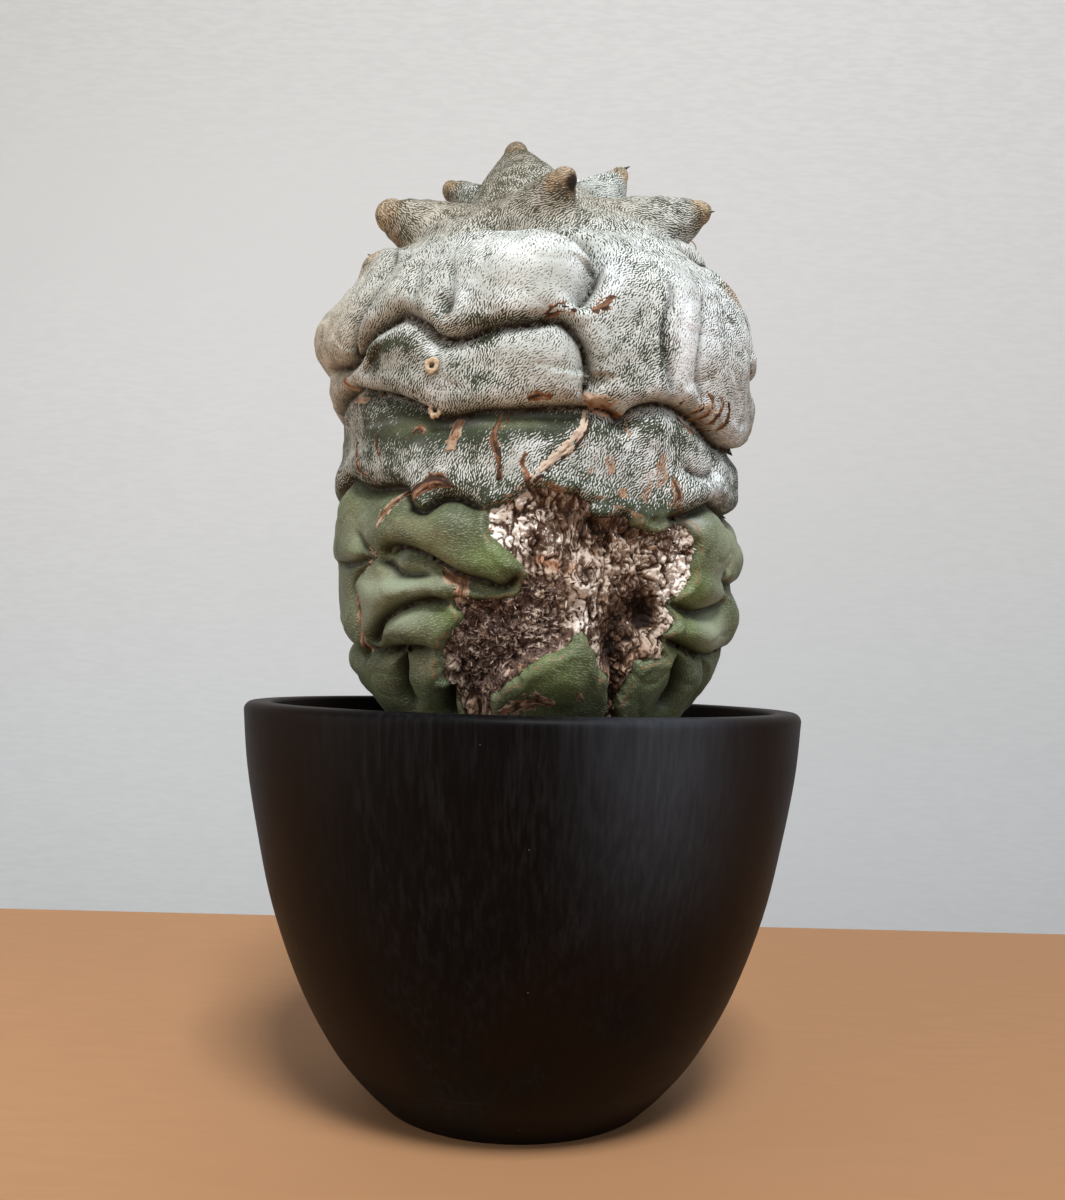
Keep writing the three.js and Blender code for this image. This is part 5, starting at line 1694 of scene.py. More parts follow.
@dataclass
class CactusStem:
    """The stem with its crown of horns: one closed skin."""

    form: StemForm
    finish: CactusSkin = field(default_factory=CactusSkin)
    body_columns: int = 320
    body_rows: int = 260
    voxel: float = 0.82
    quick_voxel: float = 1.6
    triangle_limit: int = 192000
    front_half_angle: float = 100.0
    buried_below: float = 94.0
    probe: float = 0.05
    least_slope: float = 0.35
    longest_move: float = 0.8
    seam_x: float = 11.0
    top_cover: float = 0.612
    third_tier_cover: float = 0.42
    most_cover: float = 0.72

    def body(self) -> Piece:
        """Returns the stem without horns, shaped from a ball."""
        deselect_all()
        bpy.ops.mesh.primitive_uv_sphere_add(
            segments=self.body_columns // 2, ring_count=self.body_rows // 2, radius=MM
        )
        body = name_new("stem_body")
        apply_modifier(body, "SUBSURF", subdivision_type="SIMPLE", levels=1, render_levels=1)
        ball = unit(read_points(body))
        along = self.form.crest.length * (1 - np.arccos(np.clip(ball[:, 2], -1, 1)) / math.pi)
        azimuth = np.degrees(np.arctan2(ball[:, 0], -ball[:, 1]))
        write_points(body, self.form.surface(azimuth, along))
        return body

    def horn(self, number: int) -> Piece:
        """Returns one horn, shaped from a ball drawn out along its bent axis."""
        horn = HORNS[number]
        deselect_all()
        bpy.ops.mesh.primitive_uv_sphere_add(segments=40, ring_count=32, radius=MM)
        piece = name_new(f"horn_{number}")
        ball = read_points(piece)
        place = 1 - np.arccos(np.clip(ball[:, 2], -1, 1)) / math.pi
        share = np.clip((place - 0.1) / 0.75, 0, 1)
        cap = np.clip((place - 0.85) / 0.15, 0, 1) * math.pi / 2
        root = np.sin(np.clip(place / 0.1, 0, 1) * math.pi / 2)
        axis = self.form.horn_axis(horn, share)
        ahead = self.form.horn_axis(horn, share + 0.01) - self.form.horn_axis(horn, share - 0.01)
        ahead = unit(ahead)
        side = unit(np.cross(np.array([0.3, 1, 0.1]), ahead))
        rise = np.cross(ahead, side)
        radius = horn.end + (horn.foot - horn.end) * (1 - share) ** horn.flare
        radius = radius * root * np.cos(cap)
        spin = np.arctan2(ball[:, 1], ball[:, 0])
        across = side * np.cos(spin)[:, None] + rise * np.sin(spin)[:, None]
        tip = ahead * (horn.end * np.sin(cap))[:, None]
        write_points(piece, axis + across * radius[:, None] + tip)
        return piece

    def settle(self, piece: Piece, rounds: int) -> None:
        """Moves the skin's vertices on to the exact form."""
        points = read_points(piece)
        for _ in range(rounds):
            write_points(piece, points)
            normals = read_normals(piece)
            gap = self.form.gap(points)
            slope = (self.form.gap(points + normals * self.probe) - gap) / self.probe
            least = self.least_slope * np.where(slope < 0, -1, 1)
            move = -gap / np.where(np.abs(slope) < self.least_slope, least, slope)
            move = np.clip(move, -self.longest_move, self.longest_move)
            points = points + normals * move[:, None]
        write_points(piece, points)

    def thin_out(self, piece: Piece) -> None:
        """Merges triangles on the far side and below the grit until the piece is light enough."""
        points = read_points(piece)
        azimuth, _, _ = self.form.crest.coordinates(points)
        far = np.abs(azimuth) > self.front_half_angle
        buried = points[:, 2] < self.buried_below
        group = piece.vertex_groups.new(name="thin")
        group.add(np.flatnonzero(far | buried).tolist(), 1.0, "REPLACE")
        apply_modifier(piece, "TRIANGULATE")
        ratio = min(self.triangle_limit / triangle_count(piece), 1)
        apply_modifier(piece, "DECIMATE", ratio=ratio, vertex_group="thin", vertex_group_factor=1.0)
        piece.vertex_groups.clear()

    def flow(self, points: Array, normals: Array, azimuth: Array, along: Array) -> tuple[Array, Array]:
        """Finds the way that the flecks run.

        Args:
            points: Vertices in mm.
            normals: Their normals.
            azimuth: Their azimuths.
            along: Their distances along the crest line.

        Returns:
            The direction across the flecks, and how near each vertex is to a horn's tip in mm.
        """
        run = self.form.crest.uphill(azimuth, along)
        body = self.form.body_gap(points)
        to_tip = np.full(len(points), 99.0)
        high = points[:, 2] > HORNS_ABOVE
        for number, horn in enumerate(HORNS):
            gap, axis = self.form.horn_gap(number, points[high])
            weight = smoothstep(body[high] - gap, -1.0, 3.0)[:, None]
            run[high] = run[high] * (1 - weight) + axis * weight
            reach = np.linalg.norm(points[high] - np.array(horn.tip), axis=1)
            to_tip[high] = np.minimum(to_tip[high], reach - horn.end)
        across = unit(np.cross(run, normals))
        tilt = 0.75 * GritNoise(21).at(points, 13) + 0.35 * GritNoise(22).at(points, 5)
        run = unit(np.cross(normals, across))
        tilt = tilt * (1 - 0.75 * smoothstep(-points[:, 2], -158, -148))
        across = across * np.cos(tilt)[:, None] + run * np.sin(tilt)[:, None]
        return across, to_tip

    def paint(self, piece: Piece) -> None:
        """Stores on the skin where its look changes."""
        points = read_points(piece)
        normals = read_normals(piece)
        chart = self.form.chart
        azimuth, along, _ = self.form.crest.coordinates(points)
        height = points[:, 2]
        wobble = 1.2 * GritNoise(31).layered(points, 6)
        tier = height - np.interp(wrap_degrees(azimuth), *np.array(TIER_LINE).T)
        bare = height - np.interp(wrap_degrees(azimuth), *np.array(BARE_LINE).T)
        on_top = smoothstep(tier, -0.8, 0.8)
        flecked = smoothstep(bare + wobble, -0.6, 1.6)
        cover = self.top_cover * on_top + self.third_tier_cover * (1 - on_top) * flecked
        crown = smoothstep(height, 222, 228)
        cover = cover + chart.read_spots(COVER, azimuth, along) * (1 - 0.7 * crown)
        across, to_tip = self.flow(points, normals, azimuth, along)
        low = height < HORNS_ABOVE
        turned = ((1 - flecked * low) * low)[:, None]
        across = unit(across * (1 - turned) + np.cross(normals, across) * turned)
        tip = np.maximum(0.66 * smoothstep(-to_tip, -6.5, 1.5), soft_balls(points, STAINS))
        areole = np.linalg.norm((points - FRONT_AREOLE[0]) / np.array(FRONT_AREOLE[1]), axis=1)
        # dark pits, the front areole and a thin dark line on the crown's front, with painted shade at
        # the bottom of some deep creases
        pits_and_crease_shade = chart.read_spots(PITS_AND_CREASE_SHADE, azimuth, along) + 1.2 * smoothstep(-areole, -1.15, -0.75)
        seam = np.exp(-(((points[:, 0] - self.seam_x) / 0.5) ** 2)) * (points[:, 1] < -20)
        pits_and_crease_shade += 0.5 * seam * smoothstep(height, 222, 225) * (1 - smoothstep(height, 232, 234))
        add_values(piece, "tip", tip)
        add_values(piece, "cap", 0.55 * smoothstep(-to_tip, -0.4, 0.6))
        add_values(piece, "pit", np.clip(pits_and_crease_shade, 0, 1))
        looks = {name: np.clip(chart.read_spots(table, azimuth, along), 0, 1)
                 for name, table in LOOKS.items()}
        for name, values in looks.items():
            add_values(piece, name, values)
        cover = cover - 0.03 * crown - 0.10 * tip - 0.13 * looks["shaded"] * crown
        add_values(piece, "cover", np.clip(cover, 0, self.most_cover) * (cover > 0.02))
        # painted shade on the horns' faces and undersides
        add_values(piece, "grime", soft_balls(points, HORN_SHADE))
        high = smoothstep(height, 229.5, 233)
        # the painted shadow along each crease, left off the crown
        add_values(piece, "slit", chart.read("slit", azimuth, along) * (1 - high))
        # painted shade: the creases' depth, and the band above the crease under the horns
        groove = smoothstep(chart.read("groove", azimuth, along), 0.5, 3.2)
        shade = chart.read("shade", azimuth, along)
        add_values(piece, "groove", np.maximum(groove * (1 - high), shade))
        add_values(piece, "wound", chart.read("wound", azimuth, along))
        add_values(piece, "fleck_across", across)

    def build(self) -> Piece:
        """Returns the finished stem."""
        pieces = [self.body()] + [self.horn(number) for number in range(len(HORNS))]
        stem = join_pieces(pieces, "stem_skin")
        voxel = self.voxel
        apply_modifier(stem, "REMESH", mode="VOXEL", voxel_size=voxel * MM)
        self.settle(stem, 3)
        self.thin_out(stem)
        self.settle(stem, 2)
        self.paint(stem)
        finish_piece(stem, self.finish.build())
        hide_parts(Node.CACTUS.value)
        return stem


@dataclass
class WoundCork:
    """The dry cork in the wound: a dense crumbly sheet sunk into the stem."""

    form: StemForm
    finish: CorkFinish = field(default_factory=CorkFinish)
    first_azimuth: float = -32.0
    last_azimuth: float = 50.0
    low: float = 95.0
    high: float = 161.0
    sheet_mm_per_degree: float = 0.95
    spacing: float = 0.26
    quick_spacing: float = 0.6
    crumple: float = 0.28
    back_depth: float = 34.0

    def regions(self, azimuth: Array, height: Array) -> dict[str, Array]:
        """Returns how strongly each kind of cork shows at each place, from 0 to 1."""
        def patch(*rows: Sequence[float]) -> Array:
            """Returns the sum of a few spots, kept within 0 to 1."""
            total = np.zeros_like(azimuth)
            for spot in spots(*rows):
                across = (azimuth - spot.azimuth) / spot.wide
                up = (height - spot.height) / spot.tall
                total += spot.rise * np.exp(-(across**2) - up**2)
            return np.clip(total, 0, 1)

        return {
            "crumb": patch((-4, 148, 11, 6, 1.3), (3, 142, 8, 5, 1.0)),
            "chunk": patch((36, 140, 10, 11, 1.2), (28, 146, 8, 5, 0.6)),
            "strand": patch((16, 149, 11, 5, 1.2), (12, 140, 6, 6, 0.6)),
            "ridge": patch((11, 134, 3.5, 5, 1.0), (15, 126, 3.2, 6, 1.0),
                           (14, 119, 3.2, 5, 1.0), (22, 127, 5, 6, 0.8)),
            "fuzz": patch((-12, 126, 12, 7, 1.2), (-14, 112, 11, 9, 1.2),
                          (0, 121, 9, 6, 1.0), (1, 131, 6.5, 5.5, 1.1)),
            "rusty": patch((1, 139.2, 4, 1.3, 1.0), (7, 137.8, 3.5, 1.3, 1.0),
                           (-2, 114, 5, 2.2, 0.7), (-10, 109.5, 6, 2.2, 0.7),
                           (24, 152, 10, 2, 0.8), (24, 108, 5, 6, 0.7),
                           (-20, 104, 6, 5, 0.5), (30, 117, 5, 4, 0.5)),
            "pale": patch((-8, 147, 9, 6, 1.0), (4, 143.5, 4, 3, 0.9),
                          (40, 138, 7, 8, 0.9), (13, 126, 3, 10, 0.8),
                          (-1, 107, 7, 3, 0.4)),
            # the hole, which is also painted darker as the shade in it
            "hole": patch((33, 127, 2.2, 4.6, 1.1), (30, 131, 2.6, 3, 0.5), (22, 117, 2.2, 6, 0.4)),
            "umber": patch((15, 150, 13, 4.5, 1.1), (26, 129, 6, 8, 1.0),
                           (25, 113, 6, 9, 0.7), (36, 148, 8, 3, 0.5)),
            "bright": patch((33, 119.5, 1.8, 1.3, 1.4), (-10, 146, 1.8, 5.5, 1.0),
                            (42, 137, 4, 3.5, 0.5), (3.5, 143.5, 2.4, 2.6, 0.6),
                            (-4.5, 145.5, 2.4, 2.6, 0.6), (10.5, 132, 2.2, 7, 0.5)),
        }

    def relief(self, azimuth: Array, height: Array, kinds: dict[str, Array]) -> tuple[Array, Array]:
        """Works out the crumbs and strands.

        Args:
            azimuth: Azimuths in degrees.
            height: Heights in mm.
            kinds: How strongly each kind of cork shows.

        Returns:
            The relief in mm, and how light each place is, from 0 to 1.
        """
        flat = np.stack([azimuth * MM_PER_DEGREE, height], axis=1)
        noise = GritNoise(41)
        warp = np.stack([noise.at(flat, 5), noise.at(flat + 60, 5)], axis=1)
        fine_warp = np.stack([noise.at(flat + 20, 1.6), noise.at(flat + 80, 1.6)], axis=1)
        q = flat + 1.4 * warp + 0.45 * fine_warp

        def lump(size: float, seed: int, tall: float = 1.0) -> tuple[Array, Array]:
            """Returns angular lumps from 0 to 1, and each lump's random number."""
            near, second, mark = CellField(seed).at(q / (1, tall), size)
            return np.clip((second - near) * 5.0, 0, 1) ** 0.6, mark

        def fold(size: float, seed: int, tall: float = 1.0) -> tuple[Array, Array]:
            """Returns winding folds of bark from 0 to 1, and a slow change of shade."""
            wrinkle = GritNoise(seed).at(q / (1, tall), size)
            shade = 0.5 + 0.9 * GritNoise(seed + 1).at(q / (1, tall), 1.6 * size)
            return np.clip(np.abs(wrinkle) * 3.6, 0, 1) ** 0.7, np.clip(shade, 0, 1)

        chunk, chunk_mark = lump(3.8, 51, 1.2)
        crumb, crumb_mark = fold(3.0, 52, 1.5)
        speck, speck_mark = fold(1.3, 56, 1.4)
        strand, strand_mark = fold(1.5, 54, 2.8)
        wisp, wisp_mark = fold(1.5, 58, 0.42)
        chunk = chunk * (0.55 + 0.45 * speck)
        crumb = crumb * (0.50 + 0.50 * speck)
        fuzz = 1 - np.abs(noise.layered(flat * (1, 0.45) + 0.8 * warp, 1.3, 3))
        big = kinds["chunk"]
        stringy = np.clip(kinds["strand"] + kinds["ridge"], 0, 1)
        fuzzy = kinds["fuzz"]
        crumbly = np.clip(1 - 0.7 * big - stringy - fuzzy, 0.15, 1)
        relief = big * chunk * (0.5 + 1.4 * chunk_mark)
        relief += crumbly * crumb * (0.35 + 1.1 * crumb_mark) + 0.35 * big * crumb * crumb_mark
        relief += stringy * strand * (0.4 + 0.9 * strand_mark)
        relief += fuzzy * (0.5 * fuzz + 0.9 * wisp * wisp_mark) + 0.30 * speck * (0.4 + speck_mark)
        relief += 0.5 * noise.at(flat, 2.2)
        top = big * chunk * (0.50 + 0.50 * chunk_mark) + crumbly * crumb * (0.42 + 0.68 * crumb_mark)
        top += stringy * strand * (0.1 + 0.8 * strand_mark) + fuzzy * wisp * (0.14 + 0.5 * wisp_mark)
        tone = top / np.maximum(big + crumbly + stringy + fuzzy, 0.6)
        return relief - 0.9, np.clip(tone, 0, 1)

    def build(self) -> Piece:
        """Returns the finished cork."""
        spacing = self.spacing
        wide = (self.last_azimuth - self.first_azimuth) * self.sheet_mm_per_degree
        columns = int(wide / spacing)
        rows = int((self.high - self.low) / spacing)
        deselect_all()
        bpy.ops.mesh.primitive_grid_add(x_subdivisions=columns, y_subdivisions=rows, size=2 * MM)
        cork = name_new("wound_cork")
        grid = read_points(cork)
        middle = (self.first_azimuth + self.last_azimuth) / 2
        azimuth = middle + grid[:, 0] * (self.last_azimuth - self.first_azimuth) / 2
        height = (self.low + self.high) / 2 + grid[:, 1] * (self.high - self.low) / 2
        along = self.form.crest.along_at(height)
        depth = self.form.chart.read("wound", azimuth, along)
        kinds = self.regions(azimuth, height)
        relief, tone = self.relief(azimuth, height, kinds)
        held = smoothstep(depth, -0.6, 1.4)
        lift = relief * held - 1.1 * (1 - held)
        points = self.form.surface(azimuth, along, lift, "cork")
        crumple = [GritNoise(seed).layered(points, 1.6, 2) for seed in (61, 62, 63)]
        write_points(cork, points + self.crumple * np.stack(crumple, axis=1) * held[:, None])
        tone = tone + 0.16 * crumple[0] + 0.12 * GritNoise(64).at(points, 5.0)
        tone = tone * (1.15 - 0.60 * kinds["umber"]) + 0.35 * kinds["bright"]
        # painted shade: darker in the hole
        shade = np.clip(tone - 0.8 * kinds["hole"], 0, 1)
        add_values(cork, "tone", shade)
        add_values(cork, "cream", np.clip(kinds["pale"] + 0.15, 0, 1))
        add_values(cork, "rust", kinds["rusty"])
        add_values(cork, "plum", kinds["fuzz"])
        delete_vertices(cork, depth < -1.6)
        self.close_back(cork)
        finish_piece(cork, self.finish.build())
        return cork

    def close_back(self, cork: Piece) -> None:
        """Draws the sheet's edge in to one point inside the stem, so that the piece is closed."""
        pick(cork)
        bpy.ops.object.mode_set(mode="EDIT")
        bpy.ops.mesh.select_all(action="DESELECT")
        bpy.ops.mesh.select_non_manifold()
        bpy.ops.mesh.extrude_edges_move()
        bpy.ops.mesh.merge(type="CENTER")
        bpy.ops.transform.translate(value=(0, self.back_depth * MM, 0))
        close_editing()


@dataclass(frozen=True)
class ChipKind:
    """One kind of loose cork in the wound.

    region names where it lies and count how many are tried. length is in mm, and shape holds the
    width and the thickness as shares of it. tone is how light it is, spread how far it turns from
    the way that the cork runs, and tilt how far it stands up, both in degrees.
    """

    region: str
    count: int
    length: tuple[float, float]
    shape: tuple[float, float]
    tone: tuple[float, float]
    spread: float
    tilt: float


CHIP_KINDS = (
    ChipKind("crumb", 700, (0.7, 2.6), (0.42, 0.10), (0.10, 1.1), 50, 20),
    ChipKind("chunk", 120, (2.0, 4.5), (0.55, 0.20), (0.25, 0.8), 70, 30),
    ChipKind("chunk", 900, (0.8, 2.8), (0.36, 0.10), (0.10, 1.2), 180, 55),
    ChipKind("strand", 1900, (1.0, 3.6), (0.12, 0.10), (0.0, 0.9), 60, 28),
    ChipKind("ridge", 500, (1.2, 3.6), (0.18, 0.10), (0.10, 0.9), 30, 20),
    ChipKind("fuzz", 3000, (0.9, 3.0), (0.10, 0.09), (0.0, 0.75), 180, 35),
    ChipKind("fuzz", 260, (0.5, 1.5), (0.5, 0.25), (0.0, 0.6), 180, 40),
    ChipKind("rusty", 700, (0.8, 2.8), (0.32, 0.10), (0.30, 0.8), 60, 40),
    ChipKind("all", 1300, (0.3, 1.0), (0.6, 0.4), (-0.1, 0.9), 180, 40),
)


@dataclass
class LooseCork:
    """Crumbs, flakes and fibres of cork lying in the wound."""

    cork: WoundCork
    seed: int = 4040
    hole: tuple[float, float] = (29.0, 129.0)
    rim_depth: float = 0.3
    lump_size: float = 0.8 / 1.1

    def frames(self, azimuth: Array, along: Array) -> tuple[Array, Array, Array]:
        """Returns unit vectors round the stem, up its skin and out of it at each place."""
        angle = azimuth * RADIANS
        across = np.stack([np.cos(angle), np.sin(angle), np.zeros_like(angle)], axis=1)
        up = self.cork.form.crest.uphill(azimuth, along)
        return across, up, np.cross(across, up)

    def scatter(self, kind: ChipKind, seed: int, points: Array) -> tuple[Array, dict[str, Array]]:
        """Lays one kind of chip.

        Args:
            kind: The kind.
            seed: The seed of its random draws.
            points: The vertices of one chip at the origin, in mm.

        Returns:
            The vertices of all its chips, and the shades stored on them.
        """
        cork = self.cork
        draw = np.random.default_rng(seed)
        azimuth = draw.uniform(cork.first_azimuth, cork.last_azimuth, kind.count)
        height = draw.uniform(cork.low + 1, cork.high, kind.count)
        chance = draw.random(kind.count)
        along = cork.form.crest.along_at(height)
        kinds = cork.regions(azimuth, height)
        kinds["all"] = np.ones(kind.count)
        depth = cork.form.chart.read("wound", azimuth, along)
        share = kinds[kind.region] * (1 - 0.8 * kinds["hole"])
        kept = (depth > self.rim_depth) & (chance < share)
        azimuth, height, along = azimuth[kept], height[kept], along[kept]
        kinds = {name: values[kept] for name, values in kinds.items()}
        number = len(azimuth)
        length = kind.length[0] + (kind.length[1] - kind.length[0]) * draw.random(number) ** 1.8
        thick = kind.shape[1] * draw.uniform(0.7, 1.3, number)
        wide = kind.shape[0] * draw.uniform(0.7, 1.3, number)
        relief, _ = cork.relief(azimuth, height, kinds)
        centre = cork.form.surface(azimuth, along, relief + 0.16 * thick * length, "cork")
        across, up, out = self.frames(azimuth, along)
        beside = (self.hole[0] - azimuth) * MM_PER_DEGREE
        to_hole = np.arctan2(self.hole[1] - height, beside)
        upright = np.full(number, math.pi / 2)
        pull = np.clip(kinds["ridge"] + 0.3 * kinds["chunk"], 0, 1)
        heading = upright * (1 - pull) + to_hole * pull
        heading = heading + draw.normal(size=number) * kind.spread * RADIANS * 0.6
        tilt = draw.normal(size=number) * kind.tilt * RADIANS
        run = across * np.cos(heading)[:, None] + up * np.sin(heading)[:, None]
        side = up * np.cos(heading)[:, None] - across * np.sin(heading)[:, None]
        ahead = run * np.cos(tilt)[:, None] + out * np.sin(tilt)[:, None]
        lift = out * np.cos(tilt)[:, None] - run * np.sin(tilt)[:, None]
        axes = np.stack([ahead, side * wide[:, None], lift * thick[:, None]], axis=1)
        placed = np.einsum("vi,nij->nvj", points / 2, axes * length[:, None, None])
        tone = kind.tone[0] + (kind.tone[1] - kind.tone[0]) * draw.random(number)
        tone = tone * (1.1 - 0.55 * kinds["umber"]) + 0.2 * kinds["bright"]
        # painted shade: chips darker in the hole
        tone = np.clip(tone - 0.6 * kinds["hole"], 0, 1)
        shades = {
            "tone": tone,
            "cream": np.clip(kinds["pale"] + draw.uniform(-0.2, 0.5, number), 0, 1),
            "rust": np.clip(kinds["rusty"] * 1.1 + 0.9 * (draw.random(number) > 0.93), 0, 1),
            "plum": kinds["fuzz"],
        }
        vertices = (placed + centre[:, None]).reshape(-1, 3)
        return vertices, {name: np.repeat(v, len(points)) for name, v in shades.items()}

    def build(self, material: Material) -> Piece:
        """Returns all the loose cork in one piece."""
        lumps, copies, shades = [], [], []
        for number, kind in enumerate(CHIP_KINDS):
            lump = lumpy_ball(f"chip_{number}", 500 + number, 0.55, self.lump_size)
            vertices, shade = self.scatter(kind, self.seed + number, read_points(lump))
            lumps.append(lump)
            copies.append((lump, vertices))
            shades.append(shade)
        chips = join_copies("cork_chips", lumps, copies)
        for name in shades[0]:
            add_values(chips, name, np.concatenate([shade[name] for shade in shades]))
        return finish_piece(chips, material, smooth=False)


class Bark(Enum):
    """Kinds of bark on an old scar."""

    RUST = 0.30
    TAN = 0.62
    PALE = 0.80
    GREY = 0.50
    DARK = -0.30


@dataclass(frozen=True)
class Scar:
    """A strip of bark: its route as (azimuth, height), half widths along it, its kind and rise."""

    route: tuple[tuple[float, float], ...]
    half_widths: tuple[float, ...]
    bark: Bark
    rise: float = 0.5


SCARS = (
    Scar(((12, 175.5), (10.5, 171), (7, 166), (3, 162.5), (-1, 159), (-3, 156)),
         (0.6, 1.0, 1.2, 1.0, 0.8, 0.3), Bark.PALE, 0.4),
    Scar(((9, 179.5), (11.5, 177.5), (14.5, 176), (18, 174.5), (21, 173.5)),
         (0.5, 1.6, 2.0, 1.1, 0.3), Bark.GREY, 0.6),
    Scar(((13.2, 175.5), (12.2, 171), (8.9, 166), (5, 162.6), (1, 159.3), (-1.2, 157)),
         (0.2, 0.35, 0.45, 0.35, 0.4, 0.2), Bark.DARK, 0.5),
    Scar(((-10, 173.5), (-10.8, 168), (-9.5, 163), (-9.6, 157.5)),
         (1.1, 1.2, 1.0, 0.5), Bark.RUST, 0.5),
    Scar(((-21, 173), (-22.3, 170), (-22.6, 167), (-23.6, 165)), (1.2, 1.9, 1.5, 0.5), Bark.TAN, 0.6),
    Scar(((-34, 154), (-29, 157.5), (-25, 158), (-21, 156.5)), (1.0, 2.2, 1.9, 0.5), Bark.RUST, 1.3),
    Scar(((-37, 158), (-40, 154), (-43, 151), (-44.5, 147)), (0.7, 1.6, 1.8, 0.4), Bark.TAN, 0.6),
    Scar(((-58, 148), (-52, 144), (-48, 141), (-53, 138.5), (-58, 136.5), (-60, 133), (-57, 129)),
         (0.3, 0.6, 0.7, 0.5, 0.7, 0.5, 0.3), Bark.TAN, 0.4),
    Scar(((-34, 170), (-32, 171), (-30, 170)), (0.3, 1.0, 0.3), Bark.RUST, 0.4),
    Scar(((-57, 130), (-55, 126), (-55, 121), (-58, 116)), (0.6, 2.0, 2.3, 0.8), Bark.GREY, 0.5),
    Scar(((-11, 103.5), (-5, 105.5), (1, 107.5), (7, 107)), (0.9, 2.2, 2.6, 0.7), Bark.GREY, 0.7),
    Scar(((12, 111.5), (13.5, 109), (15.5, 107)), (0.3, 0.8, 0.3), Bark.GREY, 0.4),
    Scar(((-27, 138), (-23, 135.5), (-19, 133.5), (-19, 130), (-17, 128)),
         (0.4, 1.2, 1.5, 1.2, 0.5), Bark.GREY, 0.5),
    Scar(((37, 180), (38.5, 176.5), (42, 174), (45, 172.5)), (0.3, 0.7, 0.6, 0.3), Bark.RUST, 0.4),
    Scar(((40, 181), (43, 182), (43.5, 178.5), (42.5, 175)), (0.3, 0.5, 0.7, 0.3), Bark.RUST, 0.4),
    Scar(((45, 183), (47, 181.5), (46.5, 178), (45.5, 173.5)), (0.3, 0.6, 0.7, 0.3), Bark.RUST, 0.5),
    Scar(((49, 183.5), (51.5, 181), (50, 177.5), (49, 174)), (0.3, 0.6, 0.7, 0.3), Bark.RUST, 0.5),
    Scar(((53, 182.5), (55, 180), (54, 176.5), (51, 173.5)), (0.3, 0.6, 0.7, 0.3), Bark.RUST, 0.5),
    Scar(((41.5, 178), (45, 180), (48.5, 179), (52, 180)), (0.3, 0.9, 0.9, 0.3), Bark.PALE, 0.3),
    Scar(((-62, 173), (-59, 168), (-56, 163), (-50, 160)), (0.3, 0.9, 1.0, 0.4), Bark.RUST, 0.4),
    Scar(((-7.5, 175.5), (-8, 171)), (0.5, 0.3), Bark.RUST, 0.3),
    Scar(((35.5, 162), (37, 158), (36, 154)), (0.3, 0.8, 0.4), Bark.RUST, 0.3),
    Scar(((-46, 172), (-47, 168), (-45, 164)), (0.3, 0.8, 0.3), Bark.RUST, 0.3),
    Scar(((-61, 189), (-60, 184), (-56, 181), (-52, 180)), (0.5, 1.3, 1.0, 0.3), Bark.TAN, 0.5),
    Scar(((-3, 176.5), (0, 177.5), (3, 177)), (0.4, 1.4, 0.4), Bark.RUST, 0.4),
    Scar(((0, 195.5), (4, 197.5), (8, 197)), (0.4, 1.3, 0.5), Bark.RUST, 0.4),
    Scar(((11, 197), (14, 199), (17, 202)), (0.4, 1.5, 0.5), Bark.RUST, 0.4),
    Scar(((-2.5, 156), (-2.5, 159), (-4, 162), (-3, 164.5)), (0.5, 0.9, 0.8, 0.3), Bark.RUST, 0.5),
)


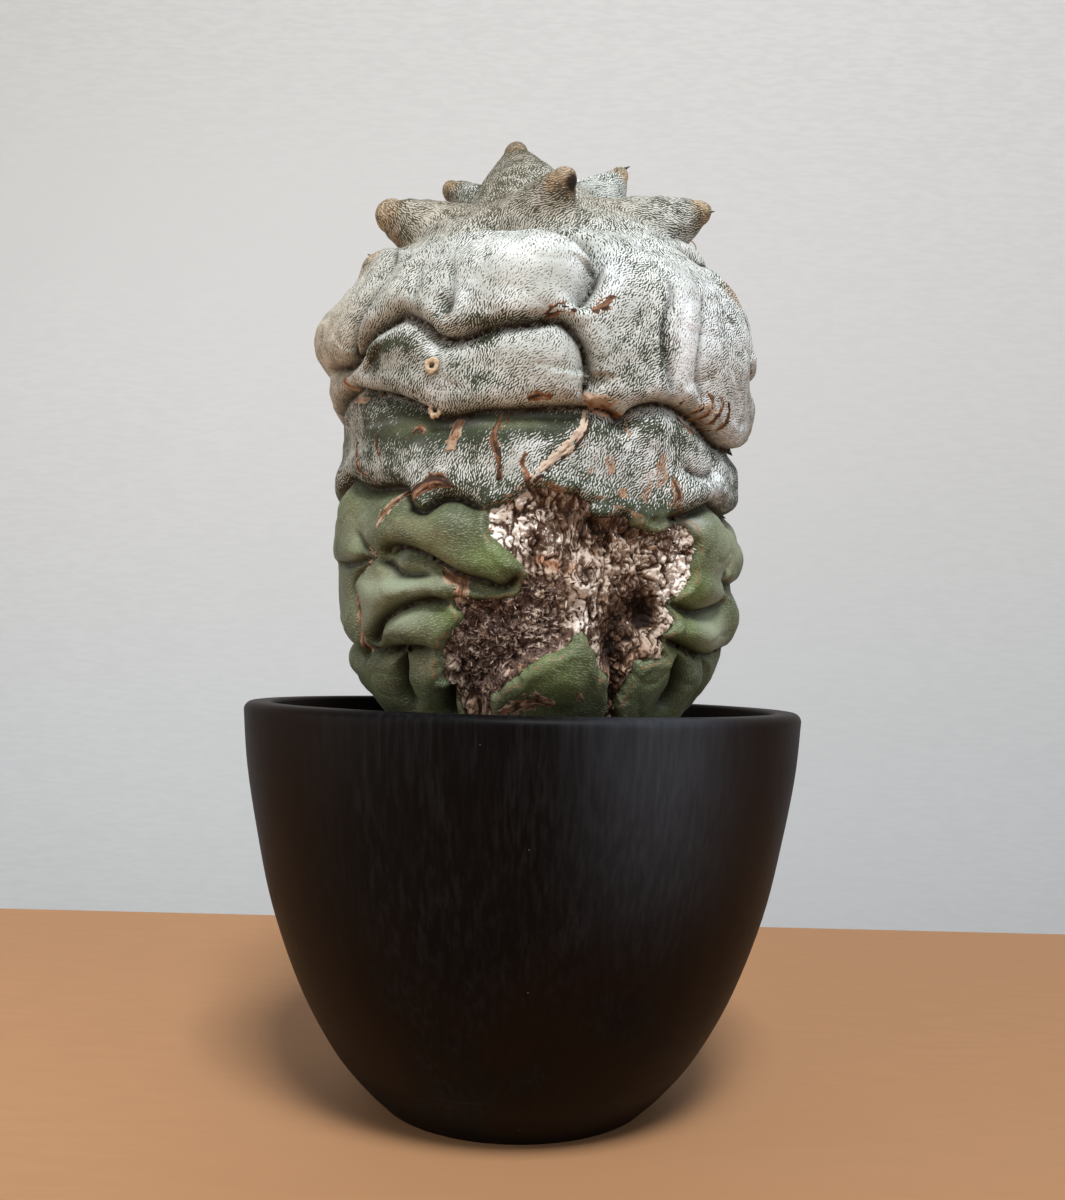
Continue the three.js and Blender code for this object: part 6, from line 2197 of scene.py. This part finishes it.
@dataclass
class ScarBark:
    """The strips of bark over old scars."""

    form: StemForm
    finish: ScabFinish = field(default_factory=ScabFinish)
    spacing: float = 0.28
    sheet_share: float = 1.4
    seed: int = 90

    def strip(self, number: int, scar: Scar) -> Piece:
        """Returns one strip of bark lying on the skin."""
        noise = GritNoise(self.seed + number)
        along_at = self.form.crest.along_at
        knots = np.array([(a * MM_PER_DEGREE, float(along_at(np.array(h)))) for a, h in scar.route])
        length = float(np.linalg.norm(np.diff(knots, axis=0), axis=1).sum())
        widest = max(scar.half_widths)
        rows = max(int(length / self.spacing), 6)
        columns = max(int(2 * self.sheet_share * widest / self.spacing), 6)
        deselect_all()
        bpy.ops.mesh.primitive_grid_add(x_subdivisions=columns, y_subdivisions=rows, size=2 * MM)
        piece = name_new(f"scar_{number}")
        grid = read_points(piece)
        share = (grid[:, 1] + 1) / 2
        centre = spline(knots, share)
        before = spline(knots, np.maximum(share - 0.02, 0))
        ahead = unit(spline(knots, np.minimum(share + 0.02, 1)) - before)
        side = np.stack([ahead[:, 1], -ahead[:, 0]], axis=1)
        half = spline([[w] for w in scar.half_widths], share)[:, 0]
        beside = grid[:, 0] * self.sheet_share * widest
        place = centre + side * beside[:, None]
        rough_half = half * (1 + 0.60 * noise.layered(place, 2.0)) + 0.40 * noise.at(place, 0.9)
        inward = 1 - np.abs(beside) / np.maximum(rough_half, 0.05)
        ends = smoothstep(np.minimum(share, 1 - share), 0, 0.06)
        rise = 0.5 * scar.rise * np.clip(inward * 2.2, -1, 1) * ends - 0.25 * (1 - ends)
        rise += 0.20 * noise.layered(place + 9, 1.6) * (inward > 0)
        own = np.stack([beside, share * length * 0.13], axis=1)
        crack = np.exp(-((noise.at(own, 1.7) / 0.09) ** 2)) * (inward > 0.1)
        rise = np.maximum(rise - 0.35 * crack, -0.7)
        azimuth = place[:, 0] / MM_PER_DEGREE
        write_points(piece, self.form.surface(azimuth, place[:, 1], rise))
        tone = scar.bark.value + 0.22 * noise.at(place, 1.8) + 0.35 * noise.at(own + 30, 0.6)
        lit = 0.3 * (scar.bark is not Bark.DARK)
        tone = tone - 0.5 * crack + lit * smoothstep(-inward, -0.35, -0.05)
        add_values(piece, "tone", tone)
        add_values(piece, "pale", np.full(len(grid), 1.0 if scar.bark is Bark.PALE else 0.3))
        apply_modifier(piece, "SOLIDIFY", thickness=0.5 * MM, offset=-1)
        return piece

    def build(self) -> Piece:
        """Returns all the strips in one piece."""
        strips = [self.strip(number, scar) for number, scar in enumerate(SCARS)]
        bark = join_pieces(strips, "scar_bark")
        finish_piece(bark, self.finish.build())
        return bark


@dataclass
class SmallParts:
    """The wool rings of two areoles, the thorns at the horns' ends and one dry fibre."""

    form: StemForm
    ring_radius: float = 1.35
    ring_thickness: float = 0.62
    ring_lift: float = 0.25
    ring_flatness: float = 0.7
    thorn_radii: tuple[float, float] = (0.55, 0.08)
    thorn_bend: float = 0.3
    rings: tuple[tuple[float, float], ...] = ((-26, 185), (-27, 175))
    thorns: tuple = (
        ((26.6, 11, 262.0), (0.9, -0.1, 0.45), 1.9),
        ((48.0, -13, 239.6), (0.95, -0.1, 0.15), 1.9),
        ((51.4, -28, 209.9), (0.4, -0.2, -0.9), 1.8),
        ((-42.6, -24.5, 221.0), (-0.9, -0.2, 0.35), 1.8),
    )
    fibre: tuple = ((41.7, -18, 229.7), (42.6, -19.5, 228.2), (42.9, -21, 226), (42, -22, 222.8))
    fibre_radius: float = 0.16

    def ring(self, number: int, azimuth: float, height: float) -> Piece:
        """Returns one ring of wool, lumpy and standing a little off the skin."""
        deselect_all()
        bpy.ops.mesh.primitive_torus_add(
            major_radius=self.ring_radius * MM, minor_radius=self.ring_thickness * MM,
            major_segments=36, minor_segments=12)
        ring = name_new(f"areole_{number}")
        points = read_points(ring)
        points *= 1 + 0.24 * GritNoise(70 + number).layered(points, 0.8)[:, None]
        angle = azimuth * RADIANS
        along = self.form.crest.along_at(np.array([height]))
        centre = self.form.surface(np.array([azimuth]), along, self.ring_lift)[0]
        across = np.array([math.cos(angle), math.sin(angle), 0])
        out = np.array([math.sin(angle), -math.cos(angle), 0])
        up = np.array([0, 0, 1.0])
        thick = self.ring_flatness * points[:, 2:3]
        placed = points[:, :1] * across + points[:, 1:2] * up + thick * out
        write_points(ring, placed + centre)
        return ring

    def thorn(self, number: int, foot: Sequence[float], way: Sequence[float], length: float) -> Piece:
        """Returns one short curved thorn."""
        deselect_all()
        bpy.ops.mesh.primitive_cone_add(
            vertices=10, radius1=self.thorn_radii[0] * MM, radius2=self.thorn_radii[1] * MM,
            depth=length * MM)
        thorn = name_new(f"thorn_{number}")
        bpy.ops.object.mode_set(mode="EDIT")
        bpy.ops.mesh.select_all(action="SELECT")
        bpy.ops.mesh.subdivide(number_cuts=2)
        bpy.ops.object.mode_set(mode="OBJECT")
        points = read_points(thorn)
        points[:, 0] += self.thorn_bend * (points[:, 2] / length) ** 2
        turn = np.array(Vector(way).to_track_quat("Z", "Y").to_matrix())
        write_points(thorn, points @ turn.T + np.array(foot))
        return thorn

    def hair(self) -> Piece:
        """Returns the dry fibre that hangs from a horn to the stem's shoulder."""
        data = bpy.data.curves.new("dry_fibre", "CURVE")
        data.dimensions = "3D"
        data.bevel_depth = self.fibre_radius * MM
        data.bevel_resolution = 2
        line = data.splines.new("POLY")
        route = spline(self.fibre, np.linspace(0, 1, 16)) * MM
        line.points.add(len(route) - 1)
        for place, point in zip(line.points, route):
            place.co = (*point, 1)
        data.use_fill_caps = True
        fibre = bpy.data.objects.new("dry_fibre", data)
        bpy.context.scene.collection.objects.link(fibre)
        pick(fibre)
        bpy.ops.object.convert(target="MESH")
        return bpy.context.active_object

    def build(self) -> None:
        """Makes the small parts."""
        wool = Plain("areole_wool", (0.66, 0.55, 0.40), (0.40, 0.28, 0.16), 0.5, 0.95)
        horny = Plain("thorn_horn", (0.10, 0.045, 0.022), (0.03, 0.014, 0.008), 0.4, 0.5)
        rings = [self.ring(number, *place) for number, place in enumerate(self.rings)]
        finish_piece(join_pieces(rings, "areole_rings"), wool.build())
        thorns = [self.thorn(number, *place) for number, place in enumerate(self.thorns)]
        finish_piece(join_pieces(thorns, "thorns"), horny.build())
        fibre = Plain("fibre_straw", (0.30, 0.20, 0.12), (0.14, 0.08, 0.045), 0.5, 0.7)
        finish_piece(self.hair(), fibre.build())


@dataclass
class Studio:
    """The plain pale floor and wall, the soft lights and the camera."""

    eye: tuple[float, float, float] = (1.89, -319.5, 114.9)
    look_up: float = 3.3
    roll: float = 1.395
    focal_mm: float = 34.5
    floor_front: float = -1500.0
    floor_back: float = 207.0
    wall_at: float = 900.0
    wall_foot: float = -900.0
    wall_top: float = 2600.0
    half_width: float = 2500.0
    floor_colour: Colour = (0.425, 0.228, 0.111)
    wall_colour: Colour = (0.745, 0.760, 0.755)
    room_colour: Colour = (0.9, 0.92, 1.0)
    room_light: float = 0.22
    floor_reach: float = 0.16
    wall_reach: float = 0.55

    def stage_material(self, name: str, colour: Colour, reach: float) -> Material:
        """Returns a plain matte material with a barely visible grain, and painted shade towards its
        right and top.
        """
        s = ShaderMaker(name)
        grain = s.noise(s.coordinates(), 75, 3)
        weave = s.noise(s.stretched((0.22, 1, 1)), 4.2, 2, 0.6)
        side = s.axis(s.coordinates(), "X")
        up = s.axis(s.coordinates(), "Z")
        # painted shade: darker towards the right and towards the top
        tint = s.mix(side.step(-reach, reach), colour, tuple(0.84 * c for c in colour))
        tint = s.mix(up.step(0.35, 0.90), tint, tuple(0.78 * c for c in colour))
        tint = s.mix(grain * 0.4, tint, tuple(0.85 * c for c in colour))
        tint = s.mix(weave.step(0.35, 0.65) * 0.5, tint, tuple(0.90 * c for c in colour))
        return s.finish(tint, 0.75, Specular_IOR_Level=0.25)

    def sheet(
        self, name: str, corners: Sequence[Sequence[float]], colour: Colour, reach: float
    ) -> None:
        """Makes one flat sheet of the stage."""
        deselect_all()
        bpy.ops.mesh.primitive_plane_add(size=MM)
        sheet = name_new(name)
        write_points(sheet, np.array(corners, float))
        apply_modifier(sheet, "SOLIDIFY", thickness=5 * MM, offset=-1)
        sheet.data.materials.append(self.stage_material(name, colour, reach))

    def stage(self) -> None:
        """Makes the floor and the wall."""
        side = self.half_width
        front, back = self.floor_front, self.floor_back
        floor = [(-side, front, 0), (side, front, 0), (-side, back, 0), (side, back, 0)]
        self.sheet("floor", floor, self.floor_colour, self.floor_reach)
        at, foot, top = self.wall_at, self.wall_foot, self.wall_top
        wall = [(-side, at, foot), (side, at, foot), (-side, at, top), (side, at, top)]
        self.sheet("wall", wall, self.wall_colour, self.wall_reach)

    def lamp(self, name: str, place: Sequence[float], size: float, watts: float, colour: Colour,
             aim_at: Sequence[float] = (0, 0, 150)) -> None:
        """Makes one soft square light that looks at a point, the plant unless told otherwise."""
        data = bpy.data.lights.new(name, "AREA")
        data.shape = "SQUARE"
        data.size = size * MM
        data.energy = watts
        data.color = colour
        lamp = bpy.data.objects.new(name, data)
        bpy.context.scene.collection.objects.link(lamp)
        lamp.location = Vector(place) * MM
        aim = Vector(aim_at) * MM - lamp.location
        lamp.rotation_euler = aim.to_track_quat("-Z", "Y").to_euler()

    def lights(self) -> None:
        """Makes the lights and the pale surroundings."""
        self.lamp("window", (230, -1200, 2000), 620, 58, (1.0, 0.99, 0.98))
        self.lamp("cool_side", (900, -650, 420), 600, 2.7, (0.84, 0.92, 1.0))
        self.lamp("fill", (-900, -700, 450), 800, 2.8, (1.0, 0.94, 0.86))
        self.lamp("wall_wash", (-520, -150, 80), 400, 0.9, (1.0, 0.99, 0.98), (-60, 300, 60))
        world = bpy.data.worlds.new("room")
        world.use_nodes = True
        background = world.node_tree.nodes["Background"]
        background.inputs["Color"].default_value = (*self.room_colour, 1)
        background.inputs["Strength"].default_value = self.room_light
        bpy.context.scene.world = world

    def camera(self) -> None:
        """Makes the camera at the photograph's viewing angle."""
        data = bpy.data.cameras.new("camera")
        data.lens = self.focal_mm
        data.clip_start = 10 * MM
        data.clip_end = 20
        camera = bpy.data.objects.new("camera", data)
        bpy.context.scene.collection.objects.link(camera)
        up = Matrix.Rotation((90 + self.look_up) * RADIANS, 4, "X")
        turn = Matrix.Rotation(self.roll * RADIANS, 4, "Z")
        camera.matrix_world = Matrix.Translation(Vector(self.eye) * MM) @ up @ turn
        bpy.context.scene.camera = camera

    def build(self) -> None:
        """Sets the stage, the lights and the camera."""
        self.stage()
        self.lights()
        self.camera()
        bpy.context.scene.view_settings.view_transform = "Standard"


def main() -> None:
    """Builds the pieces in order."""
    Studio().build()
    form = StemForm()
    log.info("form charted")
    pot = PlasticPot()
    pot.build()
    grit = PottingGrit()
    bed = grit.bed(pot)
    grit.scatter(form, bed.data.materials[0])
    CactusStem(form).build()
    cork = WoundCork(form)
    sheet = cork.build()
    LooseCork(cork).build(sheet.data.materials[0])
    ScarBark(form).build()
    SmallParts(form).build()


if __name__ == "__main__":
    main()
